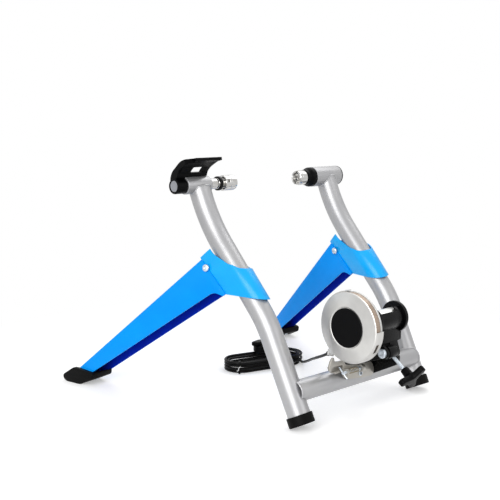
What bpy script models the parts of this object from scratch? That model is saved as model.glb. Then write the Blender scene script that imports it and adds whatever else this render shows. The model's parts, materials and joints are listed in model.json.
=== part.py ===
# Folding rear-wheel bike trainer stand with a magnetic roller unit and a wired remote.
# Metres, +Z up, floor at z = 0, X across the stand, +Y towards the folding legs' feet.
import math

import bmesh
import bpy
from mathutils import Matrix, Vector

# Driving dimensions
CENTRE_Y = 0.0581  # middle of the stand's depth, moved to y = 0 by the top empty
GAP = 0.0003  # clearance between pieces that touch

TUBE_R = 0.019
TUBE_BORE = 0.0172
HEAD_Y = 0.1040
HEAD_Z = 0.3770
BEND_UP = (0.0790, 0.3155)
BEND_LOW = (-0.0605, 0.1620)
FOOT_Y = -0.1410
HALF_WIDTH_FLOOR = 0.1517
HALF_WIDTH_HEAD = 0.1615
BEND_UP_TANGENT = 0.050
BEND_LOW_TANGENT = 0.028

BAR_Y = -0.1203
BAR_Z = 0.0587
BAR_R = 0.01775
BAR_BORE = 0.0160

# Leg plane: S runs down the leg, T up the upright's middle run, N is the plane's normal
LEG_HEIGHT = 0.2385
LEG_S = Vector((0.237, 0.715, -0.658)).normalized()
HINGE_S = 0.036
HINGE_T = 0.032
CHANNEL_HALF = 0.0230
SHEET = 0.0016
COLLAR_SHEET = 0.0018
COLLAR_INNER = 0.0193
COLLAR_SHIFT = 0.0030

# Resistance unit
AXIS_Y = -0.1808
AXIS_Z = 0.1654
PIVOT_Y = -0.1995
PIVOT_Z = 0.1150
ROLLER_R = 0.0160
HOUSING_R = 0.0585
SCREW_X = 0.0075
SCREW_ARM = 0.0164
SCREW_DIR = Vector((0.0, 0.8, 0.6))
SCREW_SIDE = Vector((0.0, 0.6, -0.8))

# Cable and coil
CABLE_R = 0.0025
COIL_CENTRE = Vector((0.0550, 0.1680, 0.0))
COIL_TILT = math.radians(-15.0)
COIL_END_R = 0.0340
COIL_RUN = 0.0490
COIL_PITCH = 0.0056
COIL_RISE = 0.0056
COIL_LAYERS = 4
COIL_TURNS_A_LAYER = 1.5
COIL_POINTS = 24
COIL_LIFT = 0.0012  # the tie's band lies between the coil and the floor

# Colours as seen on the object: linear colour, roughness, metallic
COLOURS = {
    "silver_paint": ((0.52, 0.52, 0.53), 0.30, 0.85),
    "blue_sheet": ((0.0, 0.36, 1.0), 0.35, 0.0),
    "blue_collar": ((0.01, 0.45, 1.0), 0.30, 0.0),
    "black_rubber": ((0.012, 0.012, 0.012), 0.75, 0.0),
    "black_plastic": ((0.010, 0.010, 0.011), 0.45, 0.0),
    "black_metal": ((0.012, 0.012, 0.013), 0.40, 0.3),
    "chrome": ((0.80, 0.80, 0.82), 0.12, 1.0),
    "zinc": ((0.66, 0.68, 0.70), 0.30, 1.0),
    "aluminium": ((0.74, 0.73, 0.71), 0.38, 0.9),
    "bare_steel": ((0.55, 0.50, 0.44), 0.35, 1.0),
    "cable_jacket": ((0.012, 0.012, 0.012), 0.50, 0.0),
}


for old in list(bpy.data.objects):
    bpy.data.objects.remove(old, do_unlink=True)

stand = bpy.data.collections.new("bike_trainer_stand")
cutters = bpy.data.collections.new("cutters")
bpy.context.scene.collection.children.link(stand)
bpy.context.scene.collection.children.link(cutters)


# Helpers
def make_material(name):
    colour, roughness, metallic = COLOURS[name]
    mat = bpy.data.materials.get(name) or bpy.data.materials.new(name)
    mat.use_nodes = True
    shader = mat.node_tree.nodes["Principled BSDF"]
    shader.inputs["Base Color"].default_value = (*colour, 1.0)
    shader.inputs["Roughness"].default_value = roughness
    shader.inputs["Metallic"].default_value = metallic
    mat.diffuse_color = (*colour, 1.0)
    return mat


def axes_matrix(origin, x_axis, y_axis, z_axis):
    columns = Matrix((x_axis, y_axis, z_axis)).transposed().to_4x4()
    return Matrix.Translation(origin) @ columns


def aim_matrix(origin, direction):
    # local Z along the direction
    turn = Vector((0, 0, 1)).rotation_difference(Vector(direction).normalized())
    return Matrix.Translation(origin) @ turn.to_matrix().to_4x4()


ALONG_X = Matrix.Rotation(math.radians(90), 4, "Y")


def x_axis_matrix(y, z, x=0.0):
    # local Z along world +X, through (y, z)
    return Matrix.Translation((x, y, z)) @ ALONG_X


EMPTY_FRAMES = {}


def make_empty(name, matrix, parent=None):
    empty = bpy.data.objects.new(name, None)
    empty.empty_display_size = 0.02
    stand.objects.link(empty)
    EMPTY_FRAMES[name] = matrix
    if parent is None:
        empty.matrix_basis = matrix
    else:
        empty.parent = parent
        empty.matrix_basis = EMPTY_FRAMES[parent.name].inverted() @ matrix
    return empty


def hang(obj, matrix, parent):
    obj.parent = parent
    obj.matrix_basis = EMPTY_FRAMES[parent.name].inverted() @ matrix


def add_object(name, data, matrix, parent, material=None):
    obj = bpy.data.objects.new(name, data)
    if material is None:
        cutters.objects.link(obj)
        obj.hide_render = True
        obj.display_type = "WIRE"
    else:
        stand.objects.link(obj)
        data.materials.append(make_material(material))
    hang(obj, matrix, parent)
    return obj


def evaluated_mesh(obj):
    bpy.context.view_layer.update()
    graph = bpy.context.evaluated_depsgraph_get()
    return bpy.data.meshes.new_from_object(obj.evaluated_get(graph))


def weld(mesh, distance=1e-6):
    bm = bmesh.new()
    bm.from_mesh(mesh)
    bmesh.ops.remove_doubles(bm, verts=bm.verts, dist=distance)
    bmesh.ops.recalc_face_normals(bm, faces=bm.faces)
    bm.to_mesh(mesh)
    bm.free()
    return mesh


def smooth(mesh, degrees=35):
    mesh.shade_smooth()
    mesh.set_sharp_from_angle(angle=math.radians(degrees))


def box_mesh(name, low, high, bevel=0.0, segments=1):
    bm = bmesh.new()
    bmesh.ops.create_cube(bm, size=1.0)
    size = [h - l for l, h in zip(low, high)]
    middle = [(h + l) / 2 for l, h in zip(low, high)]
    bmesh.ops.scale(bm, vec=size, verts=bm.verts)
    bmesh.ops.translate(bm, vec=middle, verts=bm.verts)
    if bevel > 0:
        bmesh.ops.bevel(bm, geom=bm.edges[:], offset=bevel, segments=segments, affect="EDGES", profile=0.5)
    mesh = bpy.data.meshes.new(name)
    bm.to_mesh(mesh)
    bm.free()
    return mesh


def rod_mesh(name, radius, low, high, sides=16):
    bm = bmesh.new()
    bmesh.ops.create_cone(bm, cap_ends=True, segments=sides, radius1=radius, radius2=radius, depth=high - low)
    bmesh.ops.translate(bm, vec=(0, 0, (low + high) / 2), verts=bm.verts)
    mesh = bpy.data.meshes.new(name)
    bm.to_mesh(mesh)
    bm.free()
    return mesh


def outline_mesh(name, loops, low, high):
    # a flat outline filled as a 2D curve and extruded along local Z from low to high
    curve = bpy.data.curves.new(name, "CURVE")
    curve.dimensions = "2D"
    curve.fill_mode = "BOTH"
    curve.extrude = (high - low) / 2
    for loop in loops:
        spline = curve.splines.new("POLY")
        spline.points.add(len(loop) - 1)
        for point, (x, y) in zip(spline.points, loop):
            point.co = (x, y, 0.0, 1.0)
        spline.use_cyclic_u = True
    helper = bpy.data.objects.new(name + "_outline", curve)
    cutters.objects.link(helper)
    mesh = weld(evaluated_mesh(helper))
    bpy.data.objects.remove(helper, do_unlink=True)
    mesh.transform(Matrix.Translation((0, 0, (low + high) / 2)))
    mesh.name = name
    return mesh


def tube_mesh(name, points, radius, resolution):
    curve = bpy.data.curves.new(name, "CURVE")
    curve.dimensions = "3D"
    curve.bevel_depth = radius
    curve.bevel_resolution = resolution
    curve.use_fill_caps = True
    spline = curve.splines.new("POLY")
    spline.points.add(len(points) - 1)
    for point, co in zip(spline.points, points):
        point.co = (*co, 1.0)
    helper = bpy.data.objects.new(name + "_path", curve)
    cutters.objects.link(helper)
    mesh = weld(evaluated_mesh(helper))
    bpy.data.objects.remove(helper, do_unlink=True)
    mesh.name = name
    return mesh


def turned_object(name, profile, matrix, parent, material, steps=24, closed=True):
    # profile of (radius, height) points; a closed one is a ring's section, an open one starts and ends on the axis
    mesh = bpy.data.meshes.new(name)
    count = len(profile)
    edges = [(i, i + 1) for i in range(count - 1)]
    if closed:
        edges.append((count - 1, 0))
    mesh.from_pydata([(r, 0.0, h) for r, h in profile], edges, [])
    obj = add_object(name, mesh, matrix, parent, material)
    screw = obj.modifiers.new("turn", "SCREW")
    screw.axis = "Z"
    screw.steps = steps
    screw.render_steps = steps
    screw.use_merge_vertices = True
    screw.merge_threshold = 1e-5
    screw.use_smooth_shade = True
    return obj


def ring_profile(outer, inner, low, high, chamfer=0.0):
    # outer side runs down, inner side runs back up
    c = chamfer
    if c > 0:
        return [(inner, high), (outer - c, high), (outer, high - c), (outer, low + c), (outer - c, low), (inner, low)]
    return [(inner, high), (outer, high), (outer, low), (inner, low)]


def rod_profile(radius, low, high, chamfer=0.0):
    c = chamfer
    if c > 0:
        return [(0.0, high), (radius - c, high), (radius, high - c), (radius, low + c), (radius - c, low), (0.0, low)]
    return [(0.0, high), (radius, high), (radius, low), (0.0, low)]


def hex_nut(name, corner_r, bore, low, high, matrix, parent, material):
    hexagon = arc((0, 0), corner_r, 0, 300, 5)
    hole = arc((0, 0), bore, 0, 345, 23)
    return add_object(name, outline_mesh(name, [hexagon, hole], low, high), matrix, parent, material)


def cut(obj, cutter, operation="DIFFERENCE"):
    mod = obj.modifiers.new(operation.lower(), "BOOLEAN")
    mod.operation = operation
    mod.solver = "EXACT"
    mod.object = cutter
    return mod


def arc(centre, radius, start, end, steps):
    cx, cy = centre
    out = []
    for i in range(steps + 1):
        a = math.radians(start + (end - start) * i / steps)
        out.append((cx + radius * math.cos(a), cy + radius * math.sin(a)))
    return out


def bent_path(knots, tangents, steps):
    # straight runs joined by true arcs
    points = [Vector(knots[0])]
    for before, corner, after, reach in zip(knots, knots[1:], knots[2:], tangents):
        corner = Vector(corner)
        back = (Vector(before) - corner).normalized()
        ahead = (Vector(after) - corner).normalized()
        half = back.angle(ahead) / 2
        radius = reach * math.tan(half)
        middle = corner + (back + ahead).normalized() * (reach / math.cos(half))
        start = corner + back * reach - middle
        end = corner + ahead * reach - middle
        sweep = start.angle(end)
        for i in range(steps + 1):
            t = i / steps
            a = math.sin((1 - t) * sweep) / math.sin(sweep)
            b = math.sin(t * sweep) / math.sin(sweep)
            points.append(middle + (start * a + end * b).normalized() * radius)
    points.append(Vector(knots[-1]))
    return points


def smooth_route(knots, spacing):
    # even points read from a Catmull-Rom curve through the route's own points
    knots = [Vector(k) for k in knots]
    ends = [knots[0] * 2 - knots[1]] + knots + [knots[-1] * 2 - knots[-2]]
    dense = []
    for i in range(1, len(ends) - 2):
        a, b, c, d = ends[i - 1 : i + 3]
        for j in range(40):
            t = j / 40
            dense.append(
                0.5
                * (
                    2 * b
                    + (c - a) * t
                    + (2 * a - 5 * b + 4 * c - d) * t * t
                    + (3 * b - a - 3 * c + d) * t * t * t
                )
            )
    dense.append(knots[-1])
    total = sum((q - p).length for p, q in zip(dense, dense[1:]))
    count = max(2, round(total / spacing))
    step = total / count
    out = [dense[0]]
    walked = 0.0
    for p, q in zip(dense, dense[1:]):
        piece = (q - p).length
        while walked + piece >= step * len(out) - 1e-9 and len(out) < count:
            out.append(p.lerp(q, (step * len(out) - walked) / piece))
        walked += piece
    out.append(dense[-1])
    return out


def path_length(points):
    return sum((Vector(q) - Vector(p)).length for p, q in zip(points, points[1:]))


top = make_empty("stand_centre", Matrix.Translation((0, -CENTRE_Y, 0)))
# everything below is written with the head axis at HEAD_Y, before the shift of the top empty
EMPTY_FRAMES["stand_centre"] = Matrix.Identity(4)
HERE = Matrix.Identity(4)


# Uprights, crossbar, head tubes and foot caps
def upright_x(side, z):
    return side * (HALF_WIDTH_FLOOR + (HALF_WIDTH_HEAD - HALF_WIDTH_FLOOR) * z / HEAD_Z)


def upright_knots(side, top_drop, foot_rise):
    head = Vector((upright_x(side, HEAD_Z), HEAD_Y, HEAD_Z))
    high = Vector((upright_x(side, BEND_UP[1]), *BEND_UP))
    low = Vector((upright_x(side, BEND_LOW[1]), *BEND_LOW))
    foot = Vector((upright_x(side, 0.0), FOOT_Y, 0.0))
    start = head + (high - head).normalized() * top_drop
    end = foot + (low - foot).normalized() * foot_rise
    return [start, high, low, end]


def upright_path(side, top_drop, foot_rise):
    return bent_path(upright_knots(side, top_drop, foot_rise), [BEND_UP_TANGENT, BEND_LOW_TANGENT], 4)


HEAD_TUBES = {
    "left": {"side": -1, "outer": 0.0150, "bore": 0.0100, "low": -0.1942, "high": -0.1418, "drop": 0.0070},
    "right": {"side": 1, "outer": 0.0188, "bore": 0.0170, "low": 0.1206, "high": 0.1904, "drop": 0.0050},
}
for where, head in HEAD_TUBES.items():
    side = head["side"]
    mesh = tube_mesh("upright_" + where, upright_path(side, head["drop"], 0.0131), TUBE_R, 6)
    smooth(mesh)
    upright = add_object("upright_" + where, mesh, HERE, top, "silver_paint")
    bore = tube_mesh("upright_bore_" + where, upright_path(side, -0.03, 0.0), TUBE_BORE, 4)
    cut(upright, add_object("upright_bore_" + where, bore, HERE, top))
    cope = rod_mesh("cope_" + where, head["outer"] + GAP, head["low"] - 0.02, head["high"] + 0.02, 32)
    cut(upright, add_object("cope_" + where, cope, x_axis_matrix(HEAD_Y, HEAD_Z), top))
    turned_object(
        "head_tube_" + where,
        ring_profile(head["outer"], head["bore"], head["low"], head["high"], 0.0008),
        x_axis_matrix(HEAD_Y, HEAD_Z),
        top,
        "silver_paint",
        32,
    )
    # rubber foot: a square-ended cap with a plug inside the tube and a band round it, its low edge cut flat
    foot = Vector((upright_x(side, 0.0), FOOT_Y, 0.0))
    low_knot = Vector((upright_x(side, BEND_LOW[1]), *BEND_LOW))
    cap = turned_object(
        "foot_cap_" + where,
        [
            (0.0, 0.0300),
            (TUBE_BORE - 0.0006, 0.0300),
            (TUBE_BORE - 0.0006, 0.0128),
            (TUBE_R + GAP, 0.0128),
            (TUBE_R + GAP, 0.0255),
            (0.0214, 0.0255),
            (0.0218, 0.0249),
            (0.0218, 0.0098),
            (0.0208, 0.0088),
            (0.0, 0.0088),
        ],
        aim_matrix(foot, low_knot - foot),
        top,
        "black_rubber",
        24,
        closed=False,
    )
    floor = box_mesh("floor_" + where, (-0.1, -0.1, -0.1), (0.1, 0.1, 0.0))
    cut(cap, add_object("floor_" + where, floor, Matrix.Translation(foot), top))

turned_object(
    "end_plug_right",
    [
        (0.0, 0.1959),
        (0.0150, 0.1959),
        (0.0186, 0.1936),
        (0.0188, 0.1908),
        (0.0166, 0.1908),
        (0.0164, 0.1810),
        (0.0, 0.1810),
    ],
    x_axis_matrix(HEAD_Y, HEAD_Z),
    top,
    "black_plastic",
    24,
    closed=False,
)

bar_mesh = rod_mesh("crossbar", BAR_R, -0.1535, 0.1535, 28)
smooth(bar_mesh)
crossbar = add_object("crossbar", bar_mesh, x_axis_matrix(BAR_Y, BAR_Z), top, "silver_paint")
bar_bore = rod_mesh("crossbar_bore", BAR_BORE, -0.2, 0.2, 20)
cut(crossbar, add_object("crossbar_bore", bar_bore, x_axis_matrix(BAR_Y, BAR_Z), top))
for where, side in (("left", -1), ("right", 1)):
    envelope = tube_mesh("upright_skin_" + where, upright_path(side, 0.01, -0.02), TUBE_R + GAP, 6)
    cut(crossbar, add_object("upright_skin_" + where, envelope, HERE, top))


# Folding legs: collar, channel, boot, hinge bolt and nut on each side
def leg_outline():
    lower_edge = [(0.054, -0.0084), (0.392, 0.0359)]
    return [
        (0.0380, 0.0800),
        (0.0380, 0.0474),
        (0.0357, 0.0474),
        (0.0290, -0.0250),
        (0.0305, -0.0268),
        (0.0350, -0.0260),
        (0.0400, -0.0190),
        (0.0460, -0.0120),
        *lower_edge,
        (0.418, 0.0594),
        (0.430, 0.0800),
    ]


def collar_outline():
    nose = arc((HINGE_S, HINGE_T), 0.0162, -62, 84, 10)
    bottom = [(-0.0265, -0.0764), (0.0030, -0.0500), (0.0300, -0.0259)]
    rear_top = [(0.0130, 0.0550), (0.0124, 0.0450), (0.0073, 0.0330), (-0.0030, 0.0120), (-0.0080, 0.0070)]
    return rear_top + [(-0.0150, -0.0050), (-0.0265, -0.0140)] + bottom + nose + [(0.0377, 0.0550)]


def open_shell(name, section, start, end, lift):
    # an open strip swept along local X; lift moves the far end up along local Y
    bm = bmesh.new()
    rows = []
    for x, rise in ((start, 0.0), (end, lift)):
        rows.append([bm.verts.new((x, y + rise, z)) for y, z in section])
    for i in range(len(section) - 1):
        bm.faces.new((rows[0][i], rows[1][i], rows[1][i + 1], rows[0][i + 1]))
    mesh = bpy.data.meshes.new(name)
    bm.to_mesh(mesh)
    bm.free()
    return mesh


def leg_frame(side):
    # T follows the centre of the upright's middle run, and S is squared to it
    high = Vector((upright_x(side, BEND_UP[1]), *BEND_UP))
    low = Vector((upright_x(side, BEND_LOW[1]), *BEND_LOW))
    t_axis = (high - low).normalized()
    origin = low + (high - low) * ((LEG_HEIGHT - low.z) / (high.z - low.z))
    n_axis = Vector((side * LEG_S.x, LEG_S.y, LEG_S.z)).cross(t_axis).normalized()
    return axes_matrix(origin, t_axis.cross(n_axis), t_axis, n_axis)


def boot_frame(side):
    # heading of the leg's plane on the floor
    frame = leg_frame(side)
    normal = frame.col[2].to_3d()
    heading = normal.cross(Vector((0, 0, 1))).normalized()
    heading = heading if heading.y > 0 else -heading
    across = heading.cross(Vector((0, 0, 1))).normalized()
    origin = frame.translation.copy()
    origin.z = 0.0
    # local X along the heading, local Y up, local Z across
    return axes_matrix(origin, heading, Vector((0, 0, 1)), across)


corner = 0.0030
channel_section = [(-0.040, -CHANNEL_HALF), (0.0510 - corner, -CHANNEL_HALF)]
channel_section += [
    (0.0510 - corner + corner * math.sin(math.radians(a)), -CHANNEL_HALF + corner - corner * math.cos(math.radians(a)))
    for a in (30, 60, 90)
]
channel_section += [(y, -z) for y, z in reversed(channel_section)]

collar_mid = COLLAR_INNER + COLLAR_SHEET / 2
collar_section = [(0.060, -collar_mid)]
collar_section += [
    (-COLLAR_SHIFT + collar_mid * math.cos(math.radians(a)), collar_mid * math.sin(math.radians(a)))
    for a in range(-90, -271, -15)
]
collar_section += [(0.060, collar_mid)]

for where, side in (("left", -1), ("right", 1)):
    frame = leg_frame(side)
    hinge = make_empty("leg_hinge_" + where, frame @ Matrix.Translation((HINGE_S, HINGE_T, 0)), top)

    # collar: a strip bent round the tube's rear, trimmed to its side outline
    bm = bmesh.new()
    low_row = [bm.verts.new((x, -0.10, z)) for x, z in collar_section]
    high_row = [bm.verts.new((x, 0.07, z)) for x, z in collar_section]
    for i in range(len(collar_section) - 1):
        bm.faces.new((low_row[i], low_row[i + 1], high_row[i + 1], high_row[i]))
    strip = bpy.data.meshes.new("leg_collar_" + where)
    bm.to_mesh(strip)
    bm.free()
    collar = add_object("leg_collar_" + where, strip, frame, top, "blue_collar")
    thick = collar.modifiers.new("sheet", "SOLIDIFY")
    thick.thickness = COLLAR_SHEET
    thick.offset = 0.0
    side_block = outline_mesh("collar_side_" + where, [collar_outline()], -0.03, 0.03)
    cut(collar, add_object("collar_side_" + where, side_block, frame, top), "INTERSECT")

    # channel leg: three-sided sheet, open underneath, trimmed to its side outline
    lift = 0.02 * 0.42
    shell = open_shell("leg_channel_" + where, channel_section, 0.020, 0.440, lift)
    channel = add_object("leg_channel_" + where, shell, frame, hinge, "blue_sheet")
    thick = channel.modifiers.new("sheet", "SOLIDIFY")
    thick.thickness = SHEET
    thick.offset = 1.0
    leg_block = outline_mesh("leg_side_" + where, [leg_outline()], -0.03, 0.03)
    cut(channel, add_object("leg_side_" + where, leg_block, frame, hinge), "INTERSECT")

    # one drill for the bolt's holes in both
    drill = rod_mesh("hinge_drill_" + where, 0.0043, -0.04, 0.04, 16)
    drill_obj = add_object("hinge_drill_" + where, drill, frame @ Matrix.Translation((HINGE_S, HINGE_T, 0)), top)
    cut(collar, drill_obj)
    cut(channel, drill_obj)

    at_hinge = frame @ Matrix.Translation((HINGE_S, HINGE_T, 0))
    outside = CHANNEL_HALF + GAP
    turned_object(
        "hinge_bolt_" + where,
        [
            (0.0, 0.0335),
            (0.0032, 0.0335),
            (0.0040, 0.0327),
            (0.0040, -outside),
            (0.0066, -outside),
            (0.0066, -outside - 0.0022),
            (0.0050, -outside - 0.0040),
            (0.0025, -outside - 0.0048),
            (0.0, -outside - 0.0050),
        ],
        at_hinge,
        top,
        "zinc",
        20,
        closed=False,
    )
    hex_nut("hinge_nut_" + where, 0.0073, 0.0043, outside, outside + 0.0066, at_hinge, top, "zinc")

    # boot: rubber shoe with a flat sole, hollowed to take the channel's end
    floor_frame = boot_frame(side)
    boot_side = [
        (0.2871, 0.0150),
        (0.3207, 0.0),
        (0.3552, 0.0),
        (0.3630, 0.0035),
        (0.3655, 0.0100),
        (0.3630, 0.0140),
        (0.3385, 0.0295),
        (0.3300, 0.0300),
        (0.2885, 0.0268),
        (0.2862, 0.0240),
    ]
    lean = side * 0.0365
    boot_mesh = outline_mesh("leg_boot_" + where, [boot_side], lean - 0.0265, lean + 0.0265)
    boot = add_object("leg_boot_" + where, boot_mesh, floor_frame, hinge, "black_rubber")
    bevel = boot.modifiers.new("edge", "BEVEL")
    bevel.width = 0.0025
    bevel.segments = 2
    bevel.limit_method = "ANGLE"
    bevel.angle_limit = math.radians(50)
    cavity = [
        (0.330, 0.0270),
        (0.3925, 0.0350),
        (0.4190, 0.0596),
        (0.4190, 0.0800),
        (0.330, 0.0800),
    ]
    cavity_mesh = outline_mesh("boot_cavity_" + where, [cavity], -CHANNEL_HALF - 0.0004, CHANNEL_HALF + 0.0004)
    cut(boot, add_object("boot_cavity_" + where, cavity_mesh, frame, hinge))

    # boot screw: pan head on the heel's sloping underside, with its shank up into the rubber
    slope = Vector((0.3207 - 0.2871, -0.0150, 0.0)).normalized()
    spot = Vector((0.3010, 0.0150 - 0.0139 * 0.0150 / 0.0336, lean))
    down = Vector((slope.y, -slope.x, 0.0))
    under = floor_frame @ Matrix.Translation(spot) @ aim_matrix((0, 0, 0), down)
    turned_object(
        "boot_screw_" + where,
        rod_profile(0.0038, 0.0003, 0.0022, 0.0006),
        under,
        hinge,
        "zinc",
        16,
        closed=False,
    )


# Left axle clamp: lever turns about the head axis and drives the spindle and cup inwards
head_axis = x_axis_matrix(HEAD_Y, HEAD_Z)
lever_axis = make_empty("clamp_lever_axis", head_axis, top)
left_slide = make_empty("left_spindle_slide", head_axis, top)

turned_object(
    "clamp_spindle_left",
    rod_profile(0.0095, -0.2040, -0.1091, 0.0006),
    head_axis,
    left_slide,
    "chrome",
    28,
    closed=False,
)
turned_object(
    "lock_ring_left",
    ring_profile(0.0125, 0.0098, -0.1207, -0.1143, 0.0006),
    head_axis,
    left_slide,
    "black_metal",
    20,
)
cup_left = turned_object(
    "clamp_cup_left",
    [
        (0.0, -0.0948),
        (0.0070, -0.0948),
        (0.0090, -0.0873),
        (0.0112, -0.0823),
        (0.0126, -0.0823),
        (0.0126, -0.0851),
        (0.0138, -0.0858),
        (0.0138, -0.1073),
        (0.0128, -0.1088),
        (0.0, -0.1088),
    ],
    head_axis,
    left_slide,
    "chrome",
    24,
    closed=False,
)
notch = box_mesh("cup_notch_left", (-0.0035, -0.03, -0.0030), (0.0035, -0.0105, 0.0030))
notch_at = Matrix.Translation((-0.1038, HEAD_Y, HEAD_Z)) @ Matrix.Rotation(math.radians(-20), 4, "X")
cut(cup_left, add_object("cup_notch_left", notch, notch_at, left_slide))

# lever hub: a sleeve round the spindle with a recess for the silver disc
hub_profile = [
    (0.0098, -0.1946),
    (0.0124, -0.1946),
    (0.0132, -0.1956),
    (0.0132, -0.2144),
    (0.0120, -0.2164),
    (0.0100, -0.2164),
    (0.0100, -0.2077),
    (0.0098, -0.2075),
]
lever = turned_object("clamp_lever", hub_profile, head_axis, lever_axis, "black_plastic", 28)

# paddle: side profile about the head axis, local X forwards (+Y), local Y up
PADDLE_OUTER = [(0.0120, 0.0020), (0.0122, 0.0130), (0.0070, 0.0240), (-0.0015, 0.0315), (-0.0150, 0.0420)]
PADDLE_OUTER += [(-0.0310, 0.0470), (-0.0440, 0.0488)]
PADDLE_INNER = [(-0.0450, 0.0436), (-0.0340, 0.0408), (-0.0270, 0.0373), (-0.0150, 0.0303), (-0.0080, 0.0233)]
PADDLE_INNER += [(-0.0050, 0.0160), (-0.0030, 0.0110)]
side_frame = axes_matrix((0, HEAD_Y, HEAD_Z), (0, 1, 0), (0, 0, 1), (1, 0, 0))
paddle = add_object(
    "paddle_block",
    outline_mesh("paddle_block", [PADDLE_OUTER + PADDLE_INNER], -0.2130, -0.1470),
    side_frame,
    lever_axis,
)
clear_head = rod_mesh("paddle_head_clearance", 0.0157, -0.1944, -0.12, 32)
cut(paddle, add_object("paddle_head_clearance", clear_head, head_axis, lever_axis))
clear_hub = rod_mesh("paddle_hub_clearance", 0.0115, -0.24, -0.1944, 28)
cut(paddle, add_object("paddle_hub_clearance", clear_hub, head_axis, lever_axis))
# the tip corner is trimmed at the outer end
trim = box_mesh("paddle_corner_trim", (-0.03, -0.03, -0.03), (0.03, 0.03, 0.03))
trim_at = Matrix.Translation((-0.2130 - 0.0255, HEAD_Y - 0.0490, HEAD_Z + 0.0500)) @ Matrix.Rotation(
    math.radians(-24), 4, "Z"
)
cut(paddle, add_object("paddle_corner_trim", trim, trim_at, lever_axis))
# recessed panel on the inner side, and the small window through it
panel_dir = Vector((0.0, -0.0220, 0.0240)).normalized()
panel_out = Vector((0.0, -panel_dir.z, panel_dir.y))
panel_frame = axes_matrix((0, HEAD_Y - 0.0165, HEAD_Z + 0.0318), panel_dir, panel_out * -1.0, (1, 0, 0))
recess = box_mesh("paddle_recess", (-0.0130, -0.0230, -0.2045), (0.0150, 0.0020, -0.1530))
cut(paddle, add_object("paddle_recess", recess, panel_frame, lever_axis))
window = box_mesh("paddle_window", (-0.0105, -0.03, -0.1925), (0.0045, 0.03, -0.1680))
cut(paddle, add_object("paddle_window", window, panel_frame, lever_axis))
cut(lever, paddle, "UNION")
turned_object(
    "lever_disc",
    rod_profile(0.0097, -0.2157, -0.2080, 0.0008),
    head_axis,
    lever_axis,
    "aluminium",
    28,
    closed=False,
)

# Right axle clamp: hand nut turns and drives the threaded spindle with its lobed cup
right_slide = make_empty("right_spindle_slide", head_axis, top)
nut_axis = make_empty("hand_nut_axis", head_axis, top)
turned_object(
    "thread_bush_right", ring_profile(0.0167, 0.0084, 0.1209, 0.1400, 0.0005), head_axis, top, "zinc", 20
)
turned_object(
    "spindle_right",
    rod_profile(0.0080, 0.0979, 0.1700, 0.0010),
    head_axis,
    right_slide,
    "zinc",
    20,
    closed=False,
)
turned_object(
    "hand_nut",
    [
        (0.0084, 0.1202),
        (0.0174, 0.1202),
        (0.0184, 0.1190),
        (0.0184, 0.1120),
        (0.0168, 0.1082),
        (0.0150, 0.1050),
        (0.0146, 0.0998),
        (0.0135, 0.0982),
        (0.0084, 0.0982),
    ],
    head_axis,
    nut_axis,
    "black_plastic",
    24,
)
cup_right = turned_object(
    "clamp_cup_right",
    [
        (0.0, 0.0976),
        (0.0132, 0.0976),
        (0.0140, 0.0968),
        (0.0140, 0.0860),
        (0.0132, 0.0850),
        (0.0132, 0.0800),
        (0.0122, 0.0790),
        (0.0100, 0.0790),
        (0.0075, 0.0900),
        (0.0, 0.0900),
    ],
    head_axis,
    right_slide,
    "chrome",
    24,
    closed=False,
)
# two crossed slots leave four lobes on the rim
for number, angle in enumerate((10, 100)):
    slot = box_mesh("cup_slot_%d" % number, (-0.0022, -0.03, 0.070), (0.0022, 0.03, 0.0835))
    slot_at = Matrix.Translation((0, HEAD_Y, HEAD_Z)) @ Matrix.Rotation(math.radians(angle), 4, "X") @ ALONG_X
    cut(cup_right, add_object("cup_slot_%d" % number, slot, slot_at, right_slide))

print("axle clamps modelled")


# Resistance unit: everything that swings hangs from the pivot empty
unit_pivot = make_empty("unit_pivot", x_axis_matrix(PIVOT_Y, PIVOT_Z), top)
roller_axis_at = x_axis_matrix(AXIS_Y, AXIS_Z)
roller_axis = make_empty("roller_axis", roller_axis_at, unit_pivot)
magnet_axis = make_empty("magnet_plate_axis", roller_axis_at, unit_pivot)
side_view = axes_matrix((0, 0, 0), (0, 1, 0), (0, 0, 1), (1, 0, 0))


cover = turned_object(
    "housing_cover",
    [
        (0.0, -0.0978),
        (0.0400, -0.0978),
        (HOUSING_R - 0.0048, -0.0971),
        (HOUSING_R - 0.0022, -0.0955),
        (HOUSING_R - 0.0018, -0.0940),
        (HOUSING_R - 0.0018, -0.0802),
        (HOUSING_R, -0.0802),
        (HOUSING_R, -0.0945),
        (HOUSING_R - 0.0012, -0.0972),
        (HOUSING_R - 0.0042, -0.0990),
        (0.0400, -0.0998),
        (0.0, -0.0998),
    ],
    roller_axis_at,
    unit_pivot,
    "aluminium",
    40,
    closed=False,
)


def rim_window(name, start, end, low, high):
    # wedge of the rim between two angles, measured upwards from the rear
    sweep = [(AXIS_Y - 0.075 * math.cos(math.radians(a)), AXIS_Z + 0.075 * math.sin(math.radians(a)))
             for a in (start + (end - start) * i / 8 for i in range(9))]
    inner = [(AXIS_Y - 0.0545 * math.cos(math.radians(a)), AXIS_Z + 0.0545 * math.sin(math.radians(a)))
             for a in (end + (start - end) * i / 8 for i in range(9))]
    return outline_mesh(name, [sweep + inner], low, high)


# the wide window is open to the back edge, a short slot lies below it, and a notch lets the stop's tab out
RIM_WINDOWS = ((1, 98, -0.0962, -0.0770), (-35, -19, -0.0936, -0.0872), (-142, -124, -0.0842, -0.0770))
for number, (start, end, low, high) in enumerate(RIM_WINDOWS):
    name = "rim_window_%d" % number
    cut(cover, add_object(name, rim_window(name, start, end, low, high), side_view, unit_pivot))

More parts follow.
